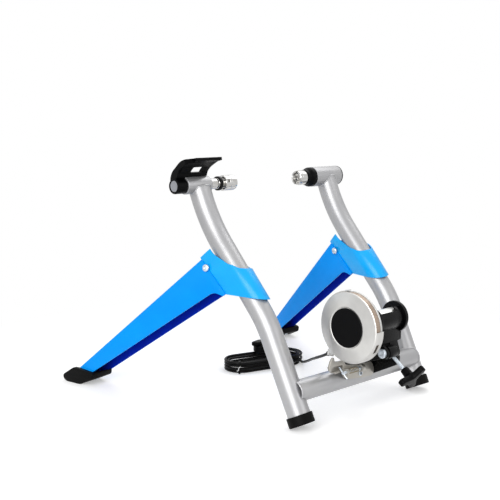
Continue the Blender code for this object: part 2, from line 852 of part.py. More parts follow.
back = turned_object(
    "housing_back",
    [
        (0.0112, -0.0700),
        (0.0170, -0.0700),
        (0.0170, -0.0802),
        (0.0554, -0.0802),
        (0.0560, -0.0808),
        (0.0560, -0.0840),
        (0.0112, -0.0840),
    ],
    roller_axis_at,
    unit_pivot,
    "aluminium",
    40,
)
tab_mesh = box_mesh("stop_tab", (0.050, -0.0075, -0.0838), (0.0735, 0.0075, -0.0770))
# local X points forwards and down from the axis towards the cable stop
tab_angle = math.radians(-47.0)
tab_frame = axes_matrix(
    (0, AXIS_Y, AXIS_Z),
    (0, math.cos(tab_angle), math.sin(tab_angle)),
    (0, -math.sin(tab_angle), math.cos(tab_angle)),
    (1, 0, 0),
)
tab = add_object("stop_tab", tab_mesh, tab_frame, unit_pivot)
cut(back, tab, "UNION")

turned_object(
    "centre_disc",
    rod_profile(0.0316, -0.1014, -0.1001, 0.0004),
    roller_axis_at,
    unit_pivot,
    "black_plastic",
    32,
    closed=False,
)
turned_object(
    "magnet_plate", ring_profile(0.0440, 0.0080, -0.0966, -0.0908), roller_axis_at, magnet_axis, "bare_steel", 28
)
turned_object(
    "rotor_cup",
    [
        (0.0055, -0.0846),
        (0.0552, -0.0846),
        (0.0556, -0.0852),
        (0.0556, -0.0955),
        (0.0515, -0.0955),
        (0.0510, -0.0878),
        (0.0120, -0.0878),
        (0.0110, -0.0900),
        (0.0055, -0.0900),
    ],
    roller_axis_at,
    roller_axis,
    "bare_steel",
    28,
)
turned_object(
    "roller_shaft",
    rod_profile(0.0050, -0.0902, 0.0270, 0.0004),
    roller_axis_at,
    roller_axis,
    "zinc",
    20,
    closed=False,
)
turned_object(
    "roller",
    ring_profile(ROLLER_R, 0.0053, -0.0305, 0.0190, 0.0006),
    roller_axis_at,
    roller_axis,
    "zinc",
    28,
)
turned_object(
    "bearing_left", ring_profile(0.0109, 0.0053, -0.0784, -0.0704), roller_axis_at, unit_pivot, "bare_steel", 20
)
turned_object(
    "bearing_right", ring_profile(0.0097, 0.0053, 0.0199, 0.0252), roller_axis_at, unit_pivot, "bare_steel", 20
)

# cradle: right ear, shroud behind the roller, neck to the housing, lugs on the pivot and the screw boss
def slab(name, outline, low, high):
    return add_object(name, outline_mesh(name, [outline], low, high), side_view, unit_pivot)


A = (AXIS_Y, AXIS_Z)
P = (PIVOT_Y, PIVOT_Z)
BOSS = (-0.1890, 0.1095)
BODY_REAR = -0.1925
BODY_FRONT = -0.1680
BODY_LOW = 0.1280
ear = arc(A, 0.0260, -58, 242, 26) + [(BODY_REAR, 0.1420), (BODY_REAR, BODY_LOW), (BODY_FRONT + 0.003, BODY_LOW)]
cradle = add_object("cradle", outline_mesh("cradle", [ear], 0.0195, 0.0256), side_view, unit_pivot, "black_metal")

# shroud: a part ring below and behind the roller, higher near the ear
low_shroud = arc(A, 0.0205, 137, 290, 14) + arc(A, 0.0176, 290, 137, 12)
high_shroud = arc(A, 0.0205, 112, 200, 8) + arc(A, 0.0176, 200, 112, 8)
body = [(BODY_REAR, 0.1520), (BODY_REAR - 0.0010, BODY_LOW), (BODY_FRONT, BODY_LOW), (BODY_FRONT, 0.1520)]
parts = [
    slab("cradle_shroud", low_shroud, -0.0335, 0.0200),
    slab("cradle_high_shroud", high_shroud, 0.0075, 0.0200),
    slab("cradle_body", body, -0.0335, 0.0200),
    slab("cradle_left_ear", arc(A, 0.0205, -60, 240, 24) + [(BODY_REAR, 0.14), (BODY_FRONT, 0.14)], -0.0370, -0.0318),
    slab(
        "cradle_left_lug",
        arc(P, 0.0095, 150, 345, 12) + [(BODY_FRONT - 0.004, BODY_LOW + 0.004), (BODY_REAR, BODY_LOW + 0.004)],
        -0.0297,
        -0.0240,
    ),
    slab(
        "cradle_boss",
        arc(BOSS, 0.0108, 160, 372, 14) + [(-0.1795, 0.1150), (-0.1790, BODY_LOW + 0.004), (BODY_REAR, BODY_LOW + 0.004)],
        -0.0060,
        0.0145,
    ),
    slab("cradle_mid_lug", arc(P, 0.0090, 80, 300, 12), -0.0060, -0.0004),
]
neck = rod_mesh("cradle_neck", 0.0165, -0.0697, -0.0360, 28)
parts.append(add_object("cradle_neck", neck, roller_axis_at, unit_pivot))
for piece in parts:
    cut(cradle, piece, "UNION")
roller_room = rod_mesh("roller_room", 0.0176, -0.0316, 0.0193, 36)
cut(cradle, add_object("roller_room", roller_room, roller_axis_at, unit_pivot))
shaft_room = rod_mesh("shaft_room", 0.0060, -0.08, 0.0194, 20)
cut(cradle, add_object("shaft_room", shaft_room, roller_axis_at, unit_pivot))
bearing_room = rod_mesh("bearing_room", 0.0100, 0.0190, 0.0300, 24)
cut(cradle, add_object("bearing_room", bearing_room, roller_axis_at, unit_pivot))
pivot_room = rod_mesh("pivot_room", 0.0043, -0.04, 0.0003, 16)
pivot_at = x_axis_matrix(PIVOT_Y, PIVOT_Z)
pivot_cutter = add_object("pivot_room", pivot_room, pivot_at, top)
cut(cradle, pivot_cutter)
screw_foot = Vector((SCREW_X, PIVOT_Y, PIVOT_Z)) + SCREW_SIDE * SCREW_ARM
screw_at = aim_matrix(screw_foot, SCREW_DIR)
screw_room = rod_mesh("screw_room", 0.00325, -0.03, 0.03, 16)
cut(cradle, add_object("screw_room", screw_room, screw_at, unit_pivot))
screw_view = axes_matrix(screw_foot, (1, 0, 0), SCREW_SIDE, SCREW_DIR)
boss_step = box_mesh("boss_step", (-0.0300, -0.0060, -0.0300), (0.0040, 0.0300, 0.0040))
cut(cradle, add_object("boss_step", boss_step, screw_view, unit_pivot))
pad_room = rod_mesh("pad_room", 0.0056, 0.0088, 0.0300, 20)
cut(cradle, add_object("pad_room", pad_room, screw_at, unit_pivot))

turned_object(
    "pivot_bolt",
    [
        (0.0, -0.0004),
        (0.0036, -0.0004),
        (0.0040, -0.0010),
        (0.0040, -0.0300),
        (0.0076, -0.0300),
        (0.0076, -0.0330),
        (0.0062, -0.0348),
        (0.0, -0.0356),
    ],
    pivot_at,
    top,
    "zinc",
    24,
    closed=False,
)

# base block: hub on the pivot, arm over the saddle bracket to the crossbar, right cheek beside the bracket
def base_slab(name, outline, low, high, material=None):
    return add_object(name, outline_mesh(name, [outline], low, high), side_view, top, material)


hub = arc(P, 0.0108, 60, 290, 16) + [(-0.1500, 0.0870), (-0.1380, 0.0850), (-0.1180, 0.0700), (-0.1080, 0.0700)]
hub += [(-0.1080, 0.0800), (-0.1300, 0.1010)]
base = base_slab("base_block", hub, -0.0237, -0.0063, "black_metal")
wide = [
    (-0.1771, 0.1151),
    (-0.1681, 0.1031),
    (-0.1560, 0.0890),
    (-0.1380, 0.0850),
    (-0.1180, 0.0700),
    (-0.1080, 0.0700),
    (-0.1080, 0.0800),
    (-0.1300, 0.1010),
]
cheek = [
    (-0.1771, 0.1151),
    (-0.1885, 0.0960),
    (-0.1870, 0.0830),
    (-0.1400, 0.0590),
    (-0.1080, 0.0590),
    (-0.1060, 0.0780),
    (-0.1300, 0.1010),
]
for piece in (base_slab("base_wide", wide, -0.0240, 0.0189), base_slab("base_cheek", cheek, 0.0188, 0.0300)):
    cut(base, piece, "UNION")
bar_room = rod_mesh("bar_room", BAR_R + GAP, -0.1, 0.1, 28)
bar_cutter = add_object("bar_room", bar_room, x_axis_matrix(BAR_Y, BAR_Z), top)
cut(base, bar_cutter)
cut(base, pivot_cutter)

# screw with its three-armed knob, and the swivel pad on its tip
pad_slide = make_empty("pad_slide", screw_at, unit_pivot)
knob_axis = make_empty("knob_axis", screw_at, pad_slide)
turned_object(
    "screw_pad",
    [
        (0.0, 0.0177),
        (0.0020, 0.0173),
        (0.0037, 0.0162),
        (0.0048, 0.0145),
        (0.0050, 0.0132),
        (0.0046, 0.0126),
        (0.0, 0.0126),
    ],
    screw_at,
    pad_slide,
    "black_plastic",
    20,
    closed=False,
)
turned_object(
    "adjust_screw",
    rod_profile(0.0030, -0.0290, 0.0123, 0.0005),
    screw_at,
    knob_axis,
    "zinc",
    16,
    closed=False,
)
# knob: a long hub on the screw's end, then a plate of three arms; local X is world +X
knob_frame = axes_matrix(screw_foot, (1, 0, 0), SCREW_SIDE * -1.0, SCREW_DIR * -1.0)
star = []
for lobe in range(3):
    middle = 68 + 120 * lobe
    for offset, radius in (
        (-42, 0.0098),
        (-18, 0.0200),
        (-14.5, 0.0245),
        (-8, 0.0272),
        (8, 0.0272),
        (14.5, 0.0245),
        (18, 0.0200),
        (42, 0.0098),
    ):
        a = math.radians(middle + offset)
        star.append((radius * math.cos(a), radius * math.sin(a)))
knob = add_object("adjust_knob", outline_mesh("adjust_knob", [star], 0.0450, 0.0548), knob_frame, knob_axis, "black_plastic")
knob_hub = rod_mesh("knob_hub", 0.0080, 0.0293, 0.0460, 20)
cut(knob, add_object("knob_hub", knob_hub, knob_frame, knob_axis), "UNION")

# Saddle bracket on the crossbar's rear, with the spring plunger
plate = [(-0.0950, 0.0850), (-0.0958, 0.0890), (-0.0945, 0.0960), (-0.0915, 0.1025), (-0.0880, 0.1062)]
plate += [(-0.0848, 0.1068), (-0.0820, 0.0990), (-0.0600, 0.0975), (-0.0540, 0.0880), (-0.0260, 0.0843)]
plate += [(0.0020, 0.0842), (0.0090, 0.0828), (0.0145, 0.0780), (0.0175, 0.0710), (0.0183, 0.0650)]
plate += [(0.0165, 0.0600), (0.0126, 0.0572), (-0.0150, 0.0590), (-0.0480, 0.0630), (-0.0590, 0.0680)]
plate += [(-0.0615, 0.0760), (-0.0615, 0.0880), (-0.0640, 0.0900), (-0.0865, 0.0912), (-0.0890, 0.0895), (-0.0900, 0.0850)]
rivet_hole = arc((-0.0178, 0.0675), 0.0026, 0, 330, 11)
# local X along world X, local Y up, local Z towards the front
plate_frame = axes_matrix((0, 0, 0), (1, 0, 0), (0, 0, 1), (0, -1, 0))
bracket = add_object(
    "unit_bracket", outline_mesh("unit_bracket", [plate, rivet_hole], 0.1387, 0.1427), plate_frame, top, "silver_paint"
)
PIN_Y = -0.1490
PIN_Z = 0.0790
tab_left = add_object(
    "plunger_tab", box_mesh("plunger_tab", (-0.0612, -0.1530, 0.0740), (-0.0580, -0.1400, 0.0840)), HERE, top
)
cut(bracket, tab_left, "UNION")
shelf_mesh = box_mesh("saddle_shelf", (-0.0625, -0.1400, 0.0768), (-0.0243, -0.1080, 0.0790))
cut(bracket, add_object("saddle_shelf", shelf_mesh, HERE, top), "UNION")
# narrow shelf with a turned-up flange behind the recess under the plate's lobe
ledge_mesh = box_mesh("saddle_ledge", (-0.0790, -0.1398, 0.0770), (-0.0600, -0.1290, 0.0788))
cut(bracket, add_object("saddle_ledge", ledge_mesh, HERE, top), "UNION")
flange_mesh = box_mesh("saddle_flange", (-0.0785, -0.1320, 0.0780), (-0.0520, -0.1300, 0.0870))
cut(bracket, add_object("saddle_flange", flange_mesh, HERE, top), "UNION")
boss_at = x_axis_matrix(PIN_Y, PIN_Z)
boss = add_object("plunger_boss", rod_mesh("plunger_boss", 0.0062, -0.0265, -0.0185, 16), boss_at, top)
cut(bracket, boss, "UNION")
web_mesh = box_mesh("plunger_boss_web", (-0.0260, -0.1490, 0.0745), (-0.0190, -0.1400, 0.0835))
boss_web = add_object("plunger_boss_web", web_mesh, HERE, top)
cut(bracket, boss_web, "UNION")
pin_room = add_object("pin_room", rod_mesh("pin_room", 0.0025, -0.075, 0.0, 16), boss_at, top)
cut(bracket, pin_room)

pin_slide = make_empty("plunger_slide", boss_at, top)
pin = turned_object(
    "lock_pin",
    [
        (0.0, -0.0160),
        (0.0014, -0.0160),
        (0.0022, -0.0172),
        (0.0022, -0.0300),
        (0.0042, -0.0300),
        (0.0042, -0.0320),
        (0.0022, -0.0320),
        (0.0022, -0.0712),
        (0.0, -0.0712),
    ],
    boss_at,
    pin_slide,
    "zinc",
    16,
    closed=False,
)
bar_dir = Vector((0.0, 0.74, 0.67)).normalized()
t_bar_at = aim_matrix((-0.0690, PIN_Y, PIN_Z), bar_dir)
t_bar = add_object("t_bar", rod_mesh("t_bar", 0.0014, -0.0120, 0.0120, 12), t_bar_at, pin_slide)
cut(pin, t_bar, "UNION")

# plunger spring: one unbroken wire with its curls between the tab and the pin's collar
SPRING_CURLS = 7
SPRING_R = 0.0036
SPRING_WIRE = 0.0006
spring_low = -0.0571
spring_high = -0.0330
spring_points = []
count = SPRING_CURLS * 9
for i in range(count + 1):
    t = i / count
    angle = 2 * math.pi * SPRING_CURLS * t
    x = spring_low + (spring_high - spring_low) * t
    spring_points.append((x, PIN_Y + SPRING_R * math.cos(angle), PIN_Z + SPRING_R * math.sin(angle)))
add_object("lock_spring", tube_mesh("lock_spring", spring_points, SPRING_WIRE, 1), HERE, top, "zinc")
spring_gap = (spring_high - spring_low) / SPRING_CURLS - 2 * SPRING_WIRE
print("least gap between the spring's curls: %.2f mm" % (spring_gap * 1000))

print("resistance unit modelled")


# Remote on top of the coil: body, handlebar band and thumb lever
REMOTE = Vector((0.0700, 0.1880, 0.0238))
remote_at = Matrix.Translation(REMOTE)
remote_axis = make_empty("remote_lever_axis", remote_at, top)
remote = turned_object(
    "remote_body",
    [
        (0.0, 0.0140),
        (0.0150, 0.0140),
        (0.0165, 0.0125),
        (0.0165, 0.0012),
        (0.0155, 0.0),
        (0.0, 0.0),
    ],
    remote_at,
    top,
    "black_plastic",
    28,
    closed=False,
)
ENTRY_DIR = Vector((0.35, 0.94, 0.0)).normalized()
ENTRY = REMOTE + Vector((0, 0, 0.0065)) + ENTRY_DIR * 0.0270
entry_tube = rod_mesh("remote_entry", 0.0046, -0.0150, 0.0, 16)
cut(remote, add_object("remote_entry", entry_tube, aim_matrix(ENTRY, ENTRY_DIR), top), "UNION")
band_at = axes_matrix(REMOTE + Vector((0.0345, -0.0040, 0.0177)), (1, 0, 0), (0, 0, 1), (0, -1, 0))
band_loops = [arc((0, 0), 0.0175, 0, 345, 23), arc((0, 0), 0.0150, 0, 345, 23)]
add_object("remote_band", outline_mesh("remote_band", band_loops, -0.0055, 0.0055), band_at, top, "black_plastic")
lever_outline = arc((0, 0), 0.0120, 210, 470, 14) + [(-0.0150, 0.0090), (-0.0215, 0.0070)]
lever_outline += [(-0.0230, 0.0020), (-0.0210, -0.0030), (-0.0150, -0.0050)]
lever_mesh = outline_mesh("remote_lever", [lever_outline], 0.0143, 0.0215)
remote_lever = add_object("remote_lever", lever_mesh, remote_at, remote_axis, "black_plastic")
bevel = remote_lever.modifiers.new("edge", "BEVEL")
bevel.width = 0.0012
bevel.segments = 1
bevel.limit_method = "ANGLE"
bevel.angle_limit = math.radians(50)
print("remote modelled")


# Cable: run from the stop to the floor, oval coil as one unbroken tube, tail into the remote
COIL_LONG = Vector((math.cos(COIL_TILT), math.sin(COIL_TILT), 0.0))
COIL_SIDE = Vector((-COIL_LONG.y, COIL_LONG.x, 0.0))
COIL_START = -30.0  # degrees round the right-hand end where the run joins


def oval(turn, inset):
    # a point of an oval of two half circles and two straights, one turn a loop
    radius = COIL_END_R - inset
    step = (turn % 1.0) * COIL_POINTS
    # half a loop: 8 steps round an end, then 4 along a straight
    end = 1.0
    start = COIL_START
    shift = (start + 90.0) / 180.0 * 8.0
    step = (step + shift) % COIL_POINTS
    if step >= COIL_POINTS / 2:
        step -= COIL_POINTS / 2
        end = -1.0
    if step <= 8.0:
        a = math.radians(-90.0 + 180.0 * step / 8.0)
        x = COIL_RUN + radius * math.cos(a)
        y = radius * math.sin(a)
    else:
        x = COIL_RUN - 2 * COIL_RUN * (step - 8.0) / 4.0
        y = radius
    return COIL_CENTRE + COIL_LONG * (x * end) + COIL_SIDE * (y * end)


def coil_point(turn):
    # inset swings in and out at a steady rate; each climb takes the half turn round a reversal
    layer = min(int(turn / COIL_TURNS_A_LAYER), COIL_LAYERS - 1)
    inside = turn - layer * COIL_TURNS_A_LAYER
    inset = inside if layer % 2 == 0 else COIL_TURNS_A_LAYER - inside
    nearest = round(turn / COIL_TURNS_A_LAYER)
    height = layer
    if 0 < nearest < COIL_LAYERS:
        climb = (turn - nearest * COIL_TURNS_A_LAYER) / 0.5 + 0.5
        if 0.0 <= climb <= 1.0:
            height = nearest - 1 + climb
    point = oval(turn, COIL_PITCH * inset)
    point.z = COIL_LIFT + CABLE_R + COIL_RISE * height
    return point


coil_turns = COIL_LAYERS * COIL_TURNS_A_LAYER + 5.0 / COIL_POINTS
coil_points = [coil_point(i / COIL_POINTS) for i in range(round(coil_turns * COIL_POINTS) + 1)]


def lead(points, length):
    # a straight end of the given length
    first, second = points[0], points[1]
    return first + (first - second).normalized() * length


coil_points = [lead(coil_points, 2 * CABLE_R)] + coil_points
coil_points.append(lead(coil_points[::-1], 2 * CABLE_R))


def least_self_gap(points, radius, skip):
    # nearest distance between stretches more than `skip` points apart, less one diameter
    best = 1.0
    samples = []
    for i, (p, q) in enumerate(zip(points, points[1:])):
        for j in range(4):
            samples.append((i, p.lerp(q, j / 4)))
    for a, (i, p) in enumerate(samples):
        for k, q in samples[a + 1 :]:
            if k - i > skip:
                best = min(best, (p - q).length)
    return best - 2 * radius


print("least gap of the coil to itself: %.2f mm" % (least_self_gap(coil_points, CABLE_R, 5) * 1000))
coil_mesh = tube_mesh("cable_coil", coil_points, CABLE_R, 1)
smooth(coil_mesh, 70)
add_object("cable_coil", coil_mesh, HERE, top, "cable_jacket")

STOP_DIR = Vector((0.30, 0.86, -0.41)).normalized()
STOP_END = Vector((-0.0750, -0.1200, 0.1070))
stop_at = aim_matrix(STOP_END, STOP_DIR)
turned_object(
    "cable_stop",
    [
        (0.0, 0.0),
        (0.0034, 0.0),
        (0.0044, -0.0020),
        (0.0044, -0.0072),
        (0.0034, -0.0076),
        (0.0030, -0.0190),
        (0.0, -0.0190),
    ],
    stop_at,
    unit_pivot,
    "black_plastic",
    16,
    closed=False,
)
# the stop is pushed through a lug at the end of the housing's tab
lug = add_object("stop_lug", box_mesh("stop_lug", (-0.0060, -0.0060, -0.0140), (0.0060, 0.0060, -0.0080)), stop_at, unit_pivot)
cut(back, lug, "UNION")
cut(back, add_object("stop_room", rod_mesh("stop_room", 0.0038, -0.0300, 0.0, 20), stop_at, unit_pivot))
cut(back, add_object("stop_head_room", rod_mesh("stop_head_room", 0.0060, -0.0079, 0.01, 20), stop_at, unit_pivot))
run_start = STOP_END + STOP_DIR * GAP
run_end = coil_points[0] + (coil_points[0] - coil_points[1]).normalized() * GAP
run_in = (coil_points[1] - coil_points[0]).normalized()
route = [run_start, run_start + STOP_DIR * 0.012]
route += [
    Vector((-0.0520, -0.0780, 0.0880)),
    Vector((0.0010, -0.0150, 0.0610)),
    Vector((0.0400, 0.0300, 0.0445)),
    Vector((0.0690, 0.0700, 0.0280)),
    Vector((0.0975, 0.0990, 0.0140)),
    run_end - run_in * 0.012,
    run_end,
]
run_points = smooth_route(route, 0.011)
run_points = [p if p.z > CABLE_R + GAP else Vector((p.x, p.y, CABLE_R + GAP)) for p in run_points]
run_mesh = tube_mesh("cable_run", run_points, CABLE_R, 2)
smooth(run_mesh, 70)
add_object("cable_run", run_mesh, HERE, top, "cable_jacket")

tail_start = coil_points[-1] + (coil_points[-1] - coil_points[-2]).normalized() * GAP
tail_out = (coil_points[-1] - coil_points[-2]).normalized()
tail_end = ENTRY + ENTRY_DIR * GAP
tail_route = [
    tail_start,
    tail_start + tail_out * 0.010,
    tail_end + ENTRY_DIR * 0.012 + (tail_start + tail_out * 0.016 - tail_end) * 0.15,
    tail_end + ENTRY_DIR * 0.006,
    tail_end,
]
tail_points = smooth_route(tail_route, 0.008)
tail_mesh = tube_mesh("cable_tail", tail_points, CABLE_R, 2)
smooth(tail_mesh, 70)
add_object("cable_tail", tail_mesh, HERE, top, "cable_jacket")
total = path_length(run_points) + path_length(coil_points) + path_length(tail_points)
print("cable: run %.3f, coil %.3f, tail %.3f, whole %.3f m" % (
    path_length(run_points), path_length(coil_points), path_length(tail_points), total))
print("tail from", tuple(round(v, 4) for v in tail_start), "towards", tuple(round(v, 3) for v in tail_out),
      "to", tuple(round(v, 4) for v in tail_end))

# tie: a flat band round the bundle where it bends round the coil's left end
TIE_ANGLE = math.radians(56.25)
TIE_LOW = COIL_LIFT - GAP
TIE_HIGH = COIL_LIFT + 2 * CABLE_R + COIL_RISE * (COIL_LAYERS - 1) + GAP
TIE_NEAR = COIL_END_R - COIL_PITCH * COIL_TURNS_A_LAYER - CABLE_R - 0.0010
TIE_FAR = COIL_END_R + CABLE_R + GAP
TIE_SHEET = 0.0007


def rounded_loop(low, high, radius):
    # four corner arcs of a rounded rectangle
    (x0, y0), (x1, y1) = low, high
    loop = []
    for (cx, cy), start in (
        ((x1 - radius, y1 - radius), 0),
        ((x0 + radius, y1 - radius), 90),
        ((x0 + radius, y0 + radius), 180),
        ((x1 - radius, y0 + radius), 270),
    ):
        loop += arc((cx, cy), radius, start, start + 90, 4)
    return loop


tie_centre = COIL_CENTRE - COIL_LONG * COIL_RUN
tie_out = COIL_LONG * -math.cos(TIE_ANGLE) - COIL_SIDE * math.sin(TIE_ANGLE)
tie_at = axes_matrix(tie_centre, tie_out, (0, 0, 1), tie_out.cross(Vector((0, 0, 1))))
tie_loops = [
    rounded_loop((TIE_NEAR - TIE_SHEET, TIE_LOW - TIE_SHEET), (TIE_FAR + TIE_SHEET, TIE_HIGH + TIE_SHEET), 0.0027),
    rounded_loop((TIE_NEAR, TIE_LOW), (TIE_FAR, TIE_HIGH), 0.0020),
]
add_object("cable_tie", outline_mesh("cable_tie", tie_loops, -0.0015, 0.0015), tie_at, top, "aluminium")
print("cable and coil modelled")
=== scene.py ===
# Bike trainer stand, the looks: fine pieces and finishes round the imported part, in metres.
import json
from math import cos, pi, radians, sin, sqrt

import bmesh
import bpy
from mathutils import Matrix, Vector


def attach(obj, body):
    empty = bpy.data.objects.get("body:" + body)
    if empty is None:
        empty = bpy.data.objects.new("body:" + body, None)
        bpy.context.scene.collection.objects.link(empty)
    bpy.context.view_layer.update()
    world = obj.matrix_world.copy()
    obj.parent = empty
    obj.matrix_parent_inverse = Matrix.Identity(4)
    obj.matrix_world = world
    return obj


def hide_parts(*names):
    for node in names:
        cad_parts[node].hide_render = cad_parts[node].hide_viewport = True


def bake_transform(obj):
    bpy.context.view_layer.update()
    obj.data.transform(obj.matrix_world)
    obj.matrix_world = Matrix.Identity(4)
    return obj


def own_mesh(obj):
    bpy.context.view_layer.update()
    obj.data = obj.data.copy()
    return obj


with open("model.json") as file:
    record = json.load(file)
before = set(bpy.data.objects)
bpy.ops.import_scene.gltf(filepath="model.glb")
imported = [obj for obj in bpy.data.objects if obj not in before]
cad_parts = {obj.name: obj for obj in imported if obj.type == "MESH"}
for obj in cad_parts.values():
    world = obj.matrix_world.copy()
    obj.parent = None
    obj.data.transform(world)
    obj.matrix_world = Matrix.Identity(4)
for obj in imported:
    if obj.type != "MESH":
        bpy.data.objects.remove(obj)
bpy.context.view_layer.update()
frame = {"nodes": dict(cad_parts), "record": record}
print("part loaded")

# Lengths are in metres from the source drawing's zero line, and toPart shifts them to the part's middle
centreY = 0.0581
toPart = Matrix.Translation((0, -centreY, 0))
gap = 0.0003
pieceShelf = bpy.data.collections.new("trainerPieces")
bpy.context.scene.collection.children.link(pieceShelf)
nodeSlots = {row["node"]: row["material_slot"] for row in frame["record"]["subparts"]}


def mm(*points):
    # outlines and profiles are written in millimetres
    return [(a / 1000, b / 1000) for a, b in points]


def setFields(thing, **fields):
    for field, value in fields.items():
        setattr(thing, field, value)
    return thing


def showObject(name, data):
    made = bpy.data.objects.new(name, data)
    bpy.context.scene.collection.objects.link(made)
    return made


# Camera as the photograph was taken, a longish lens from the left rear corner
cameraView = {"place": (-1.1427, -1.0745, 0.498), "turn": 43.08, "down": 8.7, "lens": 64.27, "sensor": 36.0}
lensData = bpy.data.cameras.new("photoCamera")
setFields(lensData, lens=cameraView["lens"], sensor_width=cameraView["sensor"], clip_start=0.05)
photoCamera = showObject("photoCamera", lensData)
photoCamera.location = toPart @ Vector(cameraView["place"])
photoCamera.rotation_euler = (radians(90 - cameraView["down"]), 0, -radians(cameraView["turn"]))
bpy.context.scene.camera = photoCamera
bpy.context.scene.view_settings.view_transform = "Standard"


# Materials
def linear(hexColour):
    channels = []
    for start in (1, 3, 5):
        value = int(hexColour[start : start + 2], 16) / 255
        channels.append(value / 12.92 if value <= 0.04045 else ((value + 0.055) / 1.055) ** 2.4)
    return (*channels, 1.0)


def addNode(tree, kind, links=None, **settings):
    # settings are the node's own fields; links go to its sockets by name or number, as values or as other sockets
    made = setFields(tree.nodes.new(kind), **settings)
    for socket, value in (links or {}).items():
        if isinstance(value, bpy.types.NodeSocket):
            tree.links.new(value, made.inputs[socket])
        else:
            made.inputs[socket].default_value = value
    return made


def emptyTree(owner):
    owner.use_nodes = True
    owner.node_tree.nodes.clear()
    return owner.node_tree


def startMaterial(name, **sockets):
    material = bpy.data.materials.new(name)
    tree = emptyTree(material)
    links = {key.replace("_", " "): value for key, value in sockets.items()}
    shader = addNode(tree, "ShaderNodeBsdfPrincipled", links)
    addNode(tree, "ShaderNodeOutputMaterial", {"Surface": shader.outputs[0]})
    place = addNode(tree, "ShaderNodeTexCoord").outputs["Object"]
    return material, tree, shader, place


def mottle(tree, place, sizeMm, detail=3.0, stretch=(1, 1, 1)):
    # noise whose blotches are sizeMm across
    spread = addNode(tree, "ShaderNodeMapping", {"Vector": place, "Scale": stretch})
    links = {"Vector": spread.outputs[0], "Scale": 1000.0 / sizeMm, "Detail": detail, "Roughness": 0.55}
    return addNode(tree, "ShaderNodeTexNoise", links).outputs["Fac"]


def ramp(tree, source, fromLow, fromHigh, toLow, toHigh):
    links = {"Value": source, "From Min": fromLow, "From Max": fromHigh, "To Min": toLow, "To Max": toHigh}
    return addNode(tree, "ShaderNodeMapRange", links).outputs[0]


def patchy(tree, noise, low, high, mainHex, shadeHex):
    # two tones of one colour that change over where the noise runs from low to high
    links = {0: ramp(tree, noise, low, high, 0.0, 1.0), 6: linear(mainHex), 7: linear(shadeHex)}
    return addNode(tree, "ShaderNodeMix", links, data_type="RGBA").outputs[2]


def bump(tree, height, strength, depthMm):
    links = {"Height": height, "Strength": strength, "Distance": depthMm / 1000.0}
    return addNode(tree, "ShaderNodeBump", links).outputs[0]


def plug(tree, shader, **sources):
    for socket, source in sources.items():
        tree.links.new(source, shader.inputs[socket.replace("_", " ")])


def powderCoat(name, mainHex, shadeHex, roughness, metallic, peelMm, coat=0.0, peel=0.04, specular=0.5):
    # baked powder paint: an even skin with a soft orange peel, real peel 1 mm, drawn coarser so that it shows
    material, tree, shader, place = startMaterial(
        name, Metallic=metallic, Coat_Weight=coat, Coat_Roughness=0.12, Specular_IOR_Level=specular)
    skin = mottle(tree, place, peelMm, 1.0)
    plug(tree, shader, Base_Color=patchy(tree, mottle(tree, place, 45.0), 0.35, 0.65, mainHex, shadeHex),
        Roughness=ramp(tree, skin, 0.3, 0.7, roughness - 0.01, roughness + 0.01),
        Normal=bump(tree, skin, peel, 0.06))
    return material


def mouldedBlack(name, mainHex, paleHex, roughness, grainMm, depthMm, specular):
    # injection moulding or rubber with an etched grain; real grain 0.3 mm, drawn coarser so that it shows
    material, tree, shader, place = startMaterial(name, Specular_IOR_Level=specular)
    grain = mottle(tree, place, grainMm, 2.0)
    plug(tree, shader, Base_Color=patchy(tree, mottle(tree, place, 22.0), 0.4, 0.7, mainHex, paleHex),
        Roughness=ramp(tree, grain, 0.3, 0.7, roughness - 0.05, roughness + 0.06),
        Normal=bump(tree, grain, 0.3, depthMm))
    return material


def platedMetal(name, mainHex, shadeHex, roughness, lineMm, strength=0.12):
    # plated or turned steel: fine tool lines stretched along X
    material, tree, shader, place = startMaterial(name, Metallic=1.0)
    lines = mottle(tree, place, lineMm, 4.0, (0.06, 1.0, 1.0))
    plug(tree, shader, Base_Color=patchy(tree, lines, 0.35, 0.65, mainHex, shadeHex),
        Roughness=ramp(tree, lines, 0.3, 0.7, roughness - 0.03, roughness + 0.06),
        Normal=bump(tree, lines, strength, 0.05))
    return material


def turnedFace(name, mainHex, shadeHex, roughness):
    # lathe-turned cone: its fine rings stretch each light into a streak that runs out from the centre
    material, tree, shader, place = startMaterial(name, Metallic=0.85, Anisotropic=0.8, Roughness=roughness)
    around = addNode(tree, "ShaderNodeTangent", direction_type="RADIAL", axis="X")
    plug(tree, shader, Base_Color=patchy(tree, mottle(tree, place, 40.0), 0.35, 0.65, mainHex, shadeHex),
        Tangent=around.outputs[0])
    return material


